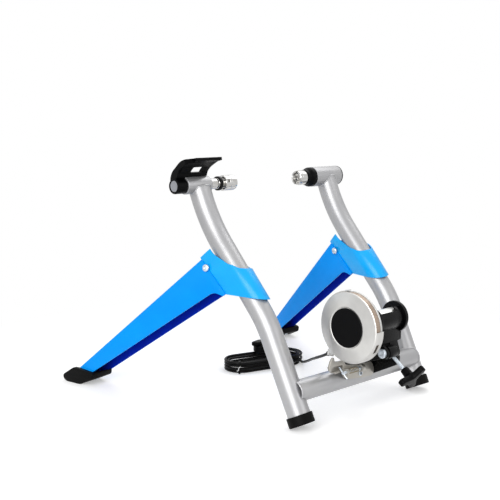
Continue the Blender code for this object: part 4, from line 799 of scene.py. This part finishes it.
paddleMesh = prism(paddleLoop, clamp["paddleLow"], clamp["paddleHigh"], headSide)
panelWay = Vector((0.0, -0.022, 0.024)).normalized()
panelOut = Vector((0.0, -panelWay.z, panelWay.y))
panelPlace = axesPlace(headSpot + Vector(clamp["panel"]), panelWay, panelOut * -1.0, (1, 0, 0))
trimSpot = headSpot + Vector((clamp["paddleLow"] - 0.0255, -0.049, 0.05))
trimPlace = Matrix.Translation(trimSpot) @ Matrix.Rotation(radians(clamp["trimTurn"]), 4, "Z")
paddleMesh = carve(
    paddleMesh,
    rod(0.0157, -0.1944, -0.12, headAxis, edge=0, steps=96),
    rod(0.0115, -0.24, -0.1944, headAxis, edge=0, steps=96),
    block((-0.03, -0.03, -0.03), (0.03, 0.03, 0.03), trimPlace, edge=0.0),
    block((-0.013, -0.023, -0.2045), (0.015, 0.002, -0.153), panelPlace, edge=0.0),
    block((-0.1848, 0.085, 0.399), (-0.1537, 0.125, 0.4083), unmoved, edge=0.0),
)
paddleMesh = softened(paddleMesh, 0.0007, degrees=35)
# moulded frames on the recess floor: one round the window, one beside it
ribs = []
ribPlace = axesPlace(headSpot + Vector(clamp["panel"]), (1, 0, 0), panelWay, panelOut)
for nearX, farX, lowT, highT in ((-0.203, -0.188, -0.0118, 0.013), (-0.186, -0.1545, 0.001, 0.013)):
    outer, inner = ([(nearX + grow, lowT + grow), (farX - grow, lowT + grow), (farX - grow, highT - grow),
            (nearX + grow, highT - grow)] for grow in (0.0, clamp["rib"]))
    frameRib = carve(prism(outer, -0.0024, -0.0008, ribPlace), prism(inner, -0.004, 0.001, ribPlace))
    ribs.append(softened(frameRib, 0.0002, segments=1))
makePiece("clampLever", joined(hubMesh, paddleMesh, *ribs), "clamp_lever", body="lever", sharp=35)
spun("leverDisc", "lever_disc", "lever", headAxis, 0.0006, 96, (0, -214.6), (6, -214.8), (8.6, -215.7),
    (9.7, -215.2), (9.7, -208), (0, -208), finish=[hubAluminium])
spun("leftSpindle", "clamp_spindle_left", "left_spindle", headAxis, 0.0003, 96, (0, -204), (8.9, -204),
    (9.5, -203.4), (9.5, -125), (8.8, -124.6), (8.8, -121.4), (9.5, -121), (9.5, -109.1), (0, -109.1))
spun("leftLockRing", "lock_ring_left", "left_spindle", headAxis, 0.0004, 96, (9.4, -120.7), (11.6, -120.7),
    (12.5, -119.6), (12.5, -115.4), (11.6, -114.3), (9.4, -114.3))
cupProfile = mm((0, -94.8), (7, -94.8), (9, -87.3), (11.2, -82.3), (12.6, -82.3), (12.6, -85.1), (13.8, -85.8),
    (13.8, -94.5), (13.4, -95), (13.4, -95.8), (13.8, -96.3), (13.8, -107.3), (12.8, -108.8), (0, -108.8))
notchPlace = Matrix.Translation((-0.1038, tubes["headY"], tubes["headZ"])) @ Matrix.Rotation(radians(-20), 4, "X")
notch = block((-0.0035, -0.03, -0.003), (0.0035, -0.0105, 0.003), notchPlace, edge=0.0)
cupMesh = carve(turned(cupProfile, headAxis, steps=96), notch)
makePiece("leftAxleCup", softened(cupMesh, 0.0003), "clamp_cup_left", body="left_spindle")


# Right axle clamp: moulded hand nut on a threaded spindle with the lobed cup
def threaded(place, radius, depth, pitch, low, high, around):
    # a screw thread drawn with its real helix; the pitch is drawn as coarse as it needs to show
    ringsATurn = 8
    count = max(ringsATurn, round((high - low) / pitch * ringsATurn))
    rows = []
    for i in range(count + 1):
        height = low + (high - low) * i / count
        fade = min(1.0, (height - low) / pitch, (high - height) / pitch)
        row = []
        for k in range(around):
            phase = (height / pitch - k / around) % 1.0
            size = radius - depth * (1 - abs(2 * phase - 1)) * fade - depth * (1 - fade)
            turn = 2 * pi * k / around
            row.append((size * cos(turn), size * sin(turn), height))
        rows.append(row)
    return loft(rows, place)


spun("threadBush", "thread_bush_right", "frame", headAxis, 0.0006, 72, (8.4, 140), (16.7, 140), (16.7, 120.9),
    (8.4, 120.9))
spindleMesh = threaded(headAxis, radius=0.008, depth=0.0006, pitch=0.002, low=0.0979, high=0.17, around=48)
makePiece("rightSpindle", spindleMesh, "spindle_right", body="right_spindle", sharp=60)
spun("handNut", "hand_nut", "right_nut", headAxis, 0.0012, 96, (8.4, 120.2), (17.4, 120.2), (18.4, 119),
    (18.4, 112), (16.8, 108.2), (15, 105), (14.6, 99.8), (13.5, 98.2), (8.4, 98.2))
lobedProfile = mm((0, 97.6), (13.2, 97.6), (14, 96.8), (14, 86), (13.4, 85.2), (13.2, 80), (12.2, 79), (10, 79),
    (7.5, 90), (0, 90))
slots = []
for turn in (10, 100):
    slotPlace = Matrix.Translation(headSpot) @ Matrix.Rotation(radians(turn), 4, "X") @ alongX(0, 0)
    slots.append(block((-0.0022, -0.03, 0.07), (0.0022, 0.03, 0.0835), slotPlace, edge=0.0))
makePiece("rightAxleCup", softened(carve(turned(lobedProfile, headAxis, steps=96), *slots), 0.0004),
    "clamp_cup_right", body="right_spindle")
print("axle clamps made")


# Resistance unit: housing, drum, roller, cradle and its bearings
unit = {"axisY": -0.1808, "axisZ": 0.1654, "pivotY": -0.1995, "pivotZ": 0.115, "rim": 0.0585}
unitAxis = alongX(unit["axisY"], unit["axisZ"])
unitSpot = (unit["axisY"], unit["axisZ"])
pivotSpot = (unit["pivotY"], unit["pivotZ"])
rim = unit["rim"]
coverProfile = [(0, -0.0978), (0.04, -0.0978), (rim - 0.0048, -0.0966), (rim - 0.002, -0.0945),
    (rim - 0.0018, -0.093), (rim - 0.0018, -0.0802), (rim, -0.0802), (rim, -0.0935), (rim - 0.0008, -0.0957),
    (rim - 0.0026, -0.0971)]
coverProfile += mm((34.8, -100.4), (33.4, -100.4), (32.6, -99.8), (0, -99.8))
coverMesh = turned(coverProfile, unitAxis, fillet=0.0006, steps=144)


def rimWindow(start, end, low, high):
    far, near = 0.075, 0.0545
    outline = arc(unitSpot, far, 180 - start, 180 - end, 24) + arc(unitSpot, near, 180 - end, 180 - start, 24)
    return slab(outline, low, high, 0.0)


windows = ((1, 98, -0.0962, -0.077), (-35, -19, -0.0936, -0.0872), (-142, -124, -0.0842, -0.077))
coverMesh = carve(coverMesh, *(rimWindow(*window) for window in windows))
makePiece("housingCover", softened(coverMesh, 0.0003), "housing_cover", finish=[turnedAluminium], body="unit")
backProfile = mm((11.2, -70), (17, -70), (17, -80.2), (55.4, -80.2), (56, -80.8), (56, -84), (11.2, -84))
tabTurn = radians(-47.0)
tabPlace = axesPlace((0, *unitSpot), (0, cos(tabTurn), sin(tabTurn)), (0, -sin(tabTurn), cos(tabTurn)), (1, 0, 0))
stopPlace = aimPlace(stopEnd, stopWay)
backMesh = joined(turned(backProfile, unitAxis, fillet=0.0006, steps=144),
    block((0.05, -0.006, -0.0838), (0.072, 0.006, -0.0775), tabPlace),
    carve(block((-0.0052, -0.0052, -0.014), (0.0052, 0.0052, -0.0085), stopPlace, edge=0.0008),
        rod(0.0036, -0.03, 0.0, stopPlace, edge=0)))
makePiece("housingBack", backMesh, "housing_back", body="unit")
spun("centreDisc", "centre_disc", "unit", unitAxis, 0.0003, 144, (0, -101.4), (31, -101.4), (31.6, -100.9),
    (31.6, -100.1), (0, -100.1))
spun("rotorDrum", "rotor_cup", "rotor", unitAxis, 0.0004, 144, (5.5, -84.6), (55.2, -84.6), (55.6, -85.2),
    (55.6, -95.5), (51.5, -95.5), (51, -87.8), (12, -87.8), (11, -90), (5.5, -90))
spun("steelRoller", "roller", "rotor", unitAxis, 0.0005, 96, (5.3, -30.5), (15, -30.5), (16, -29.5), (16, 18),
    (15, 19), (5.3, 19), finish=[rollerFace])
spun("cableStop", "cable_stop", "unit", stopPlace, 0.0005, 48, (0, 0), (3.4, 0), (4.4, -2), (4.4, -7.2),
    (3.4, -7.6), (3, -19), (0, -19))

cradle = {"rear": -0.1925, "front": -0.168, "low": 0.128, "boss": (-0.189, 0.1095)}
rear, front, lowZ = cradle["rear"], cradle["front"], cradle["low"]
screw = {"x": 0.0075, "arm": 0.0164, "way": (0.0, 0.8, 0.6), "side": (0.0, 0.6, -0.8)}
screwWay, screwSide = Vector(screw["way"]), Vector(screw["side"])
screwFoot = Vector((screw["x"], *pivotSpot)) + screwSide * screw["arm"]
screwPlace = axesPlace(screwFoot, (1, 0, 0), screwSide, screwWay)
rollerRoom = rod(0.0176, -0.0316, 0.0193, unitAxis, edge=0, steps=96)
bearingRoom = rod(0.01, 0.019, 0.03, unitAxis, edge=0, steps=72)
rightEar = arc(unitSpot, 0.026, -58, 242, 60) + [(rear, 0.142), (rear, lowZ), (front + 0.003, lowZ)]
rightEar = rounded(rightEar, 0.0012, closed=True, steps=3)
armFoot = [(front - 0.004, lowZ + 0.004), (rear, lowZ + 0.004)]
bossFoot = [(-0.1795, 0.115), (-0.179, lowZ + 0.004), (rear, lowZ + 0.004)]
cradleParts = [
    carve(slab(rightEar, 0.0195, 0.0256, 0.0008), bearingRoom),
    slab(arc(unitSpot, 0.0205, 137, 290, 40) + arc(unitSpot, 0.0176, 290, 137, 40), -0.0335, 0.02, 0.0005),
    slab(arc(unitSpot, 0.0206, 112, 200, 24) + arc(unitSpot, 0.0176, 200, 112, 24), 0.0075, 0.02, 0.0005),
    carve(slab([(rear, 0.152), (rear - 0.001, lowZ), (front, lowZ), (front, 0.152)], -0.0335, 0.02, 0.0008),
        rollerRoom),
    slab(arc(unitSpot, 0.0205, -60, 240, 60) + [(rear, 0.14), (front, 0.14)], -0.037, -0.0318, 0.0007),
    slab(arc(pivotSpot, 0.0095, 150, 345, 30) + armFoot, -0.0297, -0.024, 0.0007),
    carve(slab(arc(cradle["boss"], 0.0108, 160, 372, 36) + bossFoot, -0.006, 0.0145, 0.0008),
        block((-0.03, -0.006, -0.03), (0.004, 0.03, 0.004), screwPlace, edge=0.0),
        rod(0.0056, 0.0088, 0.03, screwPlace, edge=0, steps=48)),
    slab(arc(pivotSpot, 0.009, 80, 300, 36), -0.006, -0.0004, 0.0006),
    turned(mm((0, -36), (16.5, -36), (16.5, -69.7), (0, -69.7)), unitAxis, fillet=0.0008, steps=96),
]
makePiece("swingCradle", joined(*cradleParts), "cradle", body="unit")
spun("rollerShaft", "roller_shaft", "rotor", unitAxis, 0.0004, 64, (0, 27), (4.2, 27), (5, 26.2), (5, -90.2),
    (0, -90.2))
spun("rightBearing", "bearing_right", "unit", unitAxis, 0.0002, 72, (5.3, 25.2), (6.4, 25.2), (6.6, 24.6),
    (8.4, 24.6), (8.6, 25.2), (9.7, 25.2), (9.7, 19.9), (5.3, 19.9))
print("resistance unit made")


# Base block, pivot bolt, adjusting screw with its knob, and the swivel pad
barRoom = rod(bar["radius"] + gap, -0.1, 0.1, alongX(bar["y"], bar["z"]), edge=0, steps=96)
baseHub = arc(pivotSpot, 0.0108, 60, 290, 40) + mm((-150, 87), (-138, 85), (-118, 70), (-108, 70), (-108, 80),
    (-130, 101))
baseWide = mm((-177.1, 115.1), (-168.1, 103.1), (-156, 89), (-138, 85), (-118, 70), (-108, 70), (-108, 80),
    (-130, 101))
baseWide = rounded(baseWide, 0.0015, closed=True)
baseCheek = mm((-177.1, 115.1), (-188.5, 96), (-187, 83), (-140, 59), (-108, 59), (-106, 78), (-130, 101))
baseCheek = rounded(baseCheek, 0.0022, closed=True)
baseParts = []
for outline, low, high in ((baseHub, -0.0237, -0.0063), (baseWide, -0.024, 0.0189), (baseCheek, 0.0188, 0.03)):
    baseParts.append(carve(slab(outline, low, high, 0.0007), barRoom))
makePiece("baseBlock", joined(*baseParts), "base_block")
spun("pivotBolt", "pivot_bolt", "frame", alongX(*pivotSpot), 0.0004, 72, (0, -0.4), (3.6, -0.4), (4, -1), (4, -30),
    (7.6, -30), (7.6, -34.6), (6.8, -35.5), (3, -35.5), (2.8, -34.9), (0, -34.9))
spun("screwPad", "screw_pad", "pad", screwPlace, 0.0006, 48, (0, 17.7), (2, 17.3), (3.7, 16.2), (4.8, 14.5),
    (5, 13.2), (4.6, 12.6), (0, 12.6))
screwMesh = threaded(screwPlace, radius=0.003, depth=0.0004, pitch=0.0016, low=-0.029, high=0.0123, around=28)
makePiece("adjustScrew", screwMesh, "adjust_screw", body="knob", sharp=60)
knob = {"arms": 3, "first": 68, "low": 0.045, "high": 0.0548,
    "halfArm": ((42, 0.0098), (18, 0.02), (14.5, 0.0245), (8, 0.0272))}
armOutline = [(-offset, radius) for offset, radius in knob["halfArm"]] + list(reversed(knob["halfArm"]))
star = []
for lobe in range(knob["arms"]):
    for offset, radius in armOutline:
        turn = radians(knob["first"] + 360 / knob["arms"] * lobe + offset)
        star.append((radius * cos(turn), radius * sin(turn)))
knobPlace = axesPlace(screwFoot, (1, 0, 0), screwSide * -1.0, screwWay * -1.0)
knobPlate = plate([rounded(star, 0.003, closed=True)], knob["low"], knob["high"], knobPlace, edge=0.0018)
knobStem = mm((0, 29.3), (6.2, 29.3), (7, 30.1), (8, 42), (9.8, 45.2), (9.8, 50), (0, 50))
knobMesh = joined(knobPlate, turned(knobStem, knobPlace, fillet=0.0006, steps=64))
makePiece("adjustKnob", knobMesh, "adjust_knob", body="knob")
print("base block and adjuster made")


# Saddle bracket with the spring plunger
pin = {"y": -0.149, "z": 0.079, "curls": 7, "curlPoints": 24, "radius": 0.0036, "wire": 0.0006, "low": -0.0571,
    "high": -0.033, "fixed": -0.0576}
bracketPlate = mm((-95, 85), (-95.8, 89), (-94.5, 96), (-91.5, 102.5), (-88, 106.2), (-84.8, 106.8), (-82, 99),
    (-60, 97.5), (-54, 88), (-26, 84.3), (2, 84.2), (9, 82.8), (14.5, 78), (17.5, 71), (18.3, 65), (16.5, 60),
    (12.6, 57.2), (-15, 59), (-48, 63), (-59, 68), (-61.5, 76), (-61.5, 88), (-64, 90), (-86.5, 91.2), (-89, 89.5),
    (-90, 85))
rivetSpot = (-0.0178, 0.0675)
platePlace = axesPlace((0, 0, 0), (1, 0, 0), (0, 0, 1), (0, -1, 0))
pinPlace = alongX(pin["y"], pin["z"])
plateLoops = [rounded(bracketPlate, 0.003, closed=True), arc(rivetSpot, 0.0026, 0, 350, 35)]
bracketParts = [
    plate(plateLoops, 0.1387, 0.1427, platePlace, edge=0.0008),
    block((-0.0612, -0.153, 0.074), (-0.058, -0.14, 0.084), unmoved, edge=0.0012),
    rod(0.0062, -0.0265, -0.0185, pinPlace, edge=0.0008, steps=48),
]
folds = (((-0.0625, -0.14, 0.0768), (-0.0243, -0.108, 0.079)), ((-0.079, -0.1398, 0.077), (-0.06, -0.129, 0.0788)),
    ((-0.0785, -0.132, 0.078), (-0.052, -0.13, 0.087)), ((-0.026, -0.149, 0.0745), (-0.019, -0.14, 0.0835)))
bracketParts += [block(low, high, unmoved, edge=0.0006) for low, high in folds]
makePiece("saddleBracket", joined(*bracketParts), "unit_bracket", finish=[warmCoat])
# eyelet pressed into the plate's hole, standing a little proud
eyeletProfile = mm((2.4, 138.5), (2.4, 144), (3, 144.6), (4, 144), (4.4, 143), (2.6, 143), (2.6, 138.5))
eyeletPlace = platePlace @ Matrix.Translation((*rivetSpot, 0))
makePiece("bracketEyelet", turned(eyeletProfile, eyeletPlace, fillet=0.0003, steps=48), "unit_bracket",
    finish=[finishes["zinc"]])
pinProfile = mm((0, -16), (1.4, -16), (2.2, -17.2), (2.2, -30), (4.2, -30), (4.2, -32), (2.2, -32), (2.2, -71.2),
    (0, -71.2))
handleWay = Vector((0.0, 0.74, 0.67)).normalized()
handle = rod(0.0014, -0.012, 0.012, aimPlace((-0.069, pin["y"], pin["z"]), handleWay), edge=0.001, steps=32)
pinMesh = joined(turned(pinProfile, pinPlace, fillet=0.0003, steps=48), handle)
makePiece("plungerPin", pinMesh, "lock_pin", body="plunger")
springPath = []
springPoints = pin["curls"] * pin["curlPoints"]
for k in range(springPoints + 1):
    share = k / springPoints
    turn = 2 * pi * pin["curls"] * share
    y, z = pin["y"] + pin["radius"] * cos(turn), pin["z"] + pin["radius"] * sin(turn)
    springPath.append(Vector((pin["low"] + (pin["high"] - pin["low"]) * share, y, z)))
springMesh = swept(springPath, pin["wire"], sides=10)
plungerSpring = makePiece("plungerSpring", springMesh, "lock_spring", finish=[springWire], sharp=60)
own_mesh(plungerSpring)
print("bracket and plunger made")


# Remote: round body with its cable entry, handlebar band and thumb lever
remotePlace = Matrix.Translation(remoteSpot)
bodyProfile = mm((0, 14), (13.8, 14), (16.5, 12.2), (16.5, 7.4), (16.1, 7), (16.5, 6.6), (16.5, 1.2), (15.5, 0),
    (0, 0))
entryProfile = mm((0, 0), (3.6, 0), (4.6, -1.2), (4.6, -4), (4, -4.4), (4, -5.6), (4.6, -6), (5, -15), (0, -15))
entryMesh = turned(entryProfile, aimPlace(entry, entryWay), steps=40)
makePiece("remoteBody", joined(turned(bodyProfile, remotePlace, fillet=0.0006), entryMesh), "remote_body")
bandPlace = axesPlace(remoteSpot + Vector((0.0345, -0.004, 0.0177)), (1, 0, 0), (0, 0, 1), (0, -1, 0))
bandLoops = [arc((0, 0), radius, 0, 355, 71) for radius in (0.0175, 0.015)]
makePiece("remoteBand", plate(bandLoops, -0.0055, 0.0055, bandPlace), "remote_band")
leverLoop = arc((0, 0), 0.012, 210, 470, 40) + mm((-15, 9), (-21.5, 7), (-23, 2), (-21, -3), (-15, -5))
thumbRidges = [block((x - 0.0005, -0.0022, 0.021), (x + 0.0005, 0.0058, 0.022), remotePlace, edge=0.0002)
    for x in (-0.0205, -0.0185, -0.0165)]
leverMesh = plate([rounded(leverLoop, 0.0015, closed=True, steps=3)], 0.0143, 0.0215, remotePlace, edge=0.0012)
makePiece("thumbLever", joined(leverMesh, *thumbRidges), "remote_lever", body="thumb_lever")
print("remote made")


# Floor, backdrop and lights
def softLight(name, place, aim, size, power):
    light = bpy.data.lights.new(name, "AREA")
    setFields(light, shape="RECTANGLE", size=size[0], size_y=size[1], energy=power)
    lamp = showObject(name, light)
    lamp.location = place
    lamp.rotation_euler = (Vector(aim) - Vector(place)).to_track_quat("-Z", "Y").to_euler()


lamps = {
    "keySoftbox": {"place": (-2.15, -1.1, 1.2), "aim": (0, 0, 0.2), "size": (1.7, 2.0), "power": 52},
    "fillSoftbox": {"place": (0.6, -2.0, 1.1), "aim": (0, 0, 0.15), "size": (1.2, 1.0), "power": 6},
    "topSoftbox": {"place": (1.0, 0.25, 1.9), "aim": (0, 0, 0.15), "size": (1.9, 1.1), "power": 14},
}
for name, lamp in lamps.items():
    softLight(name, **lamp)


def seenBy(tree, *kinds):
    # 1 for rays of any of these kinds, else 0
    rays = addNode(tree, "ShaderNodeLightPath")
    seen = rays.outputs[kinds[0]]
    for kind in kinds[1:]:
        seen = addNode(tree, "ShaderNodeMath", {0: seen, 1: rays.outputs[kind]}, operation="MAXIMUM").outputs[0]
    return seen


def glowing(tree, kind, strength):
    return addNode(tree, kind, {"Color": (1, 1, 1, 1), "Strength": strength}).outputs[0]


world = bpy.data.worlds.new("paleStudio")
bpy.context.scene.world = world
sky = emptyTree(world)
skyLight = {"onObject": 0.45, "seen": 1.0}
seen = seenBy(sky, "Is Camera Ray", "Is Glossy Ray", "Is Transmission Ray")
dimSky, whiteSky = (glowing(sky, "ShaderNodeBackground", skyLight[use]) for use in ("onObject", "seen"))
skyMix = addNode(sky, "ShaderNodeMixShader", {0: seen, 1: dimSky, 2: whiteSky})
addNode(sky, "ShaderNodeOutputWorld", {"Surface": skyMix.outputs[0]})

# pale floor: it keeps the object's shadow near the stand and fades to white further out
floor = {"near": 0.36, "far": 0.8, "lift": 0.36, "half": 6, "colour": "#F2F2F2"}
floorMaterial = bpy.data.materials.new("paleStudioFloor")
tree = emptyTree(floorMaterial)
seen = seenBy(tree, "Is Camera Ray", "Is Glossy Ray")
spot = addNode(tree, "ShaderNodeNewGeometry").outputs["Position"]
away = addNode(tree, "ShaderNodeVectorMath", {0: spot}, operation="LENGTH").outputs["Value"]
fade = ramp(tree, away, floor["near"], floor["far"], 0.0, 1.0)
lift = addNode(tree, "ShaderNodeMath", {0: seen, 1: floor["lift"]}, operation="MULTIPLY").outputs[0]
matt = addNode(tree, "ShaderNodeBsdfDiffuse", {"Color": linear(floor["colour"])}).outputs[0]
glow, white = (glowing(tree, "ShaderNodeEmission", strength) for strength in (lift, seen))
lifted = addNode(tree, "ShaderNodeAddShader", {0: matt, 1: glow}).outputs[0]
floorMix = addNode(tree, "ShaderNodeMixShader", {0: fade, 1: lifted, 2: white})
addNode(tree, "ShaderNodeOutputMaterial", {"Surface": floorMix.outputs[0]})
floorMesh = bpy.data.meshes.new("studioFloor")
half = floor["half"]
floorMesh.from_pydata([(-half, -half, 0), (half, -half, 0), (half, half, 0), (-half, half, 0)], [], [(0, 1, 2, 3)])
floorMesh.materials.append(floorMaterial)
studioFloor = showObject("studioFloor", floorMesh)
print("stage set")
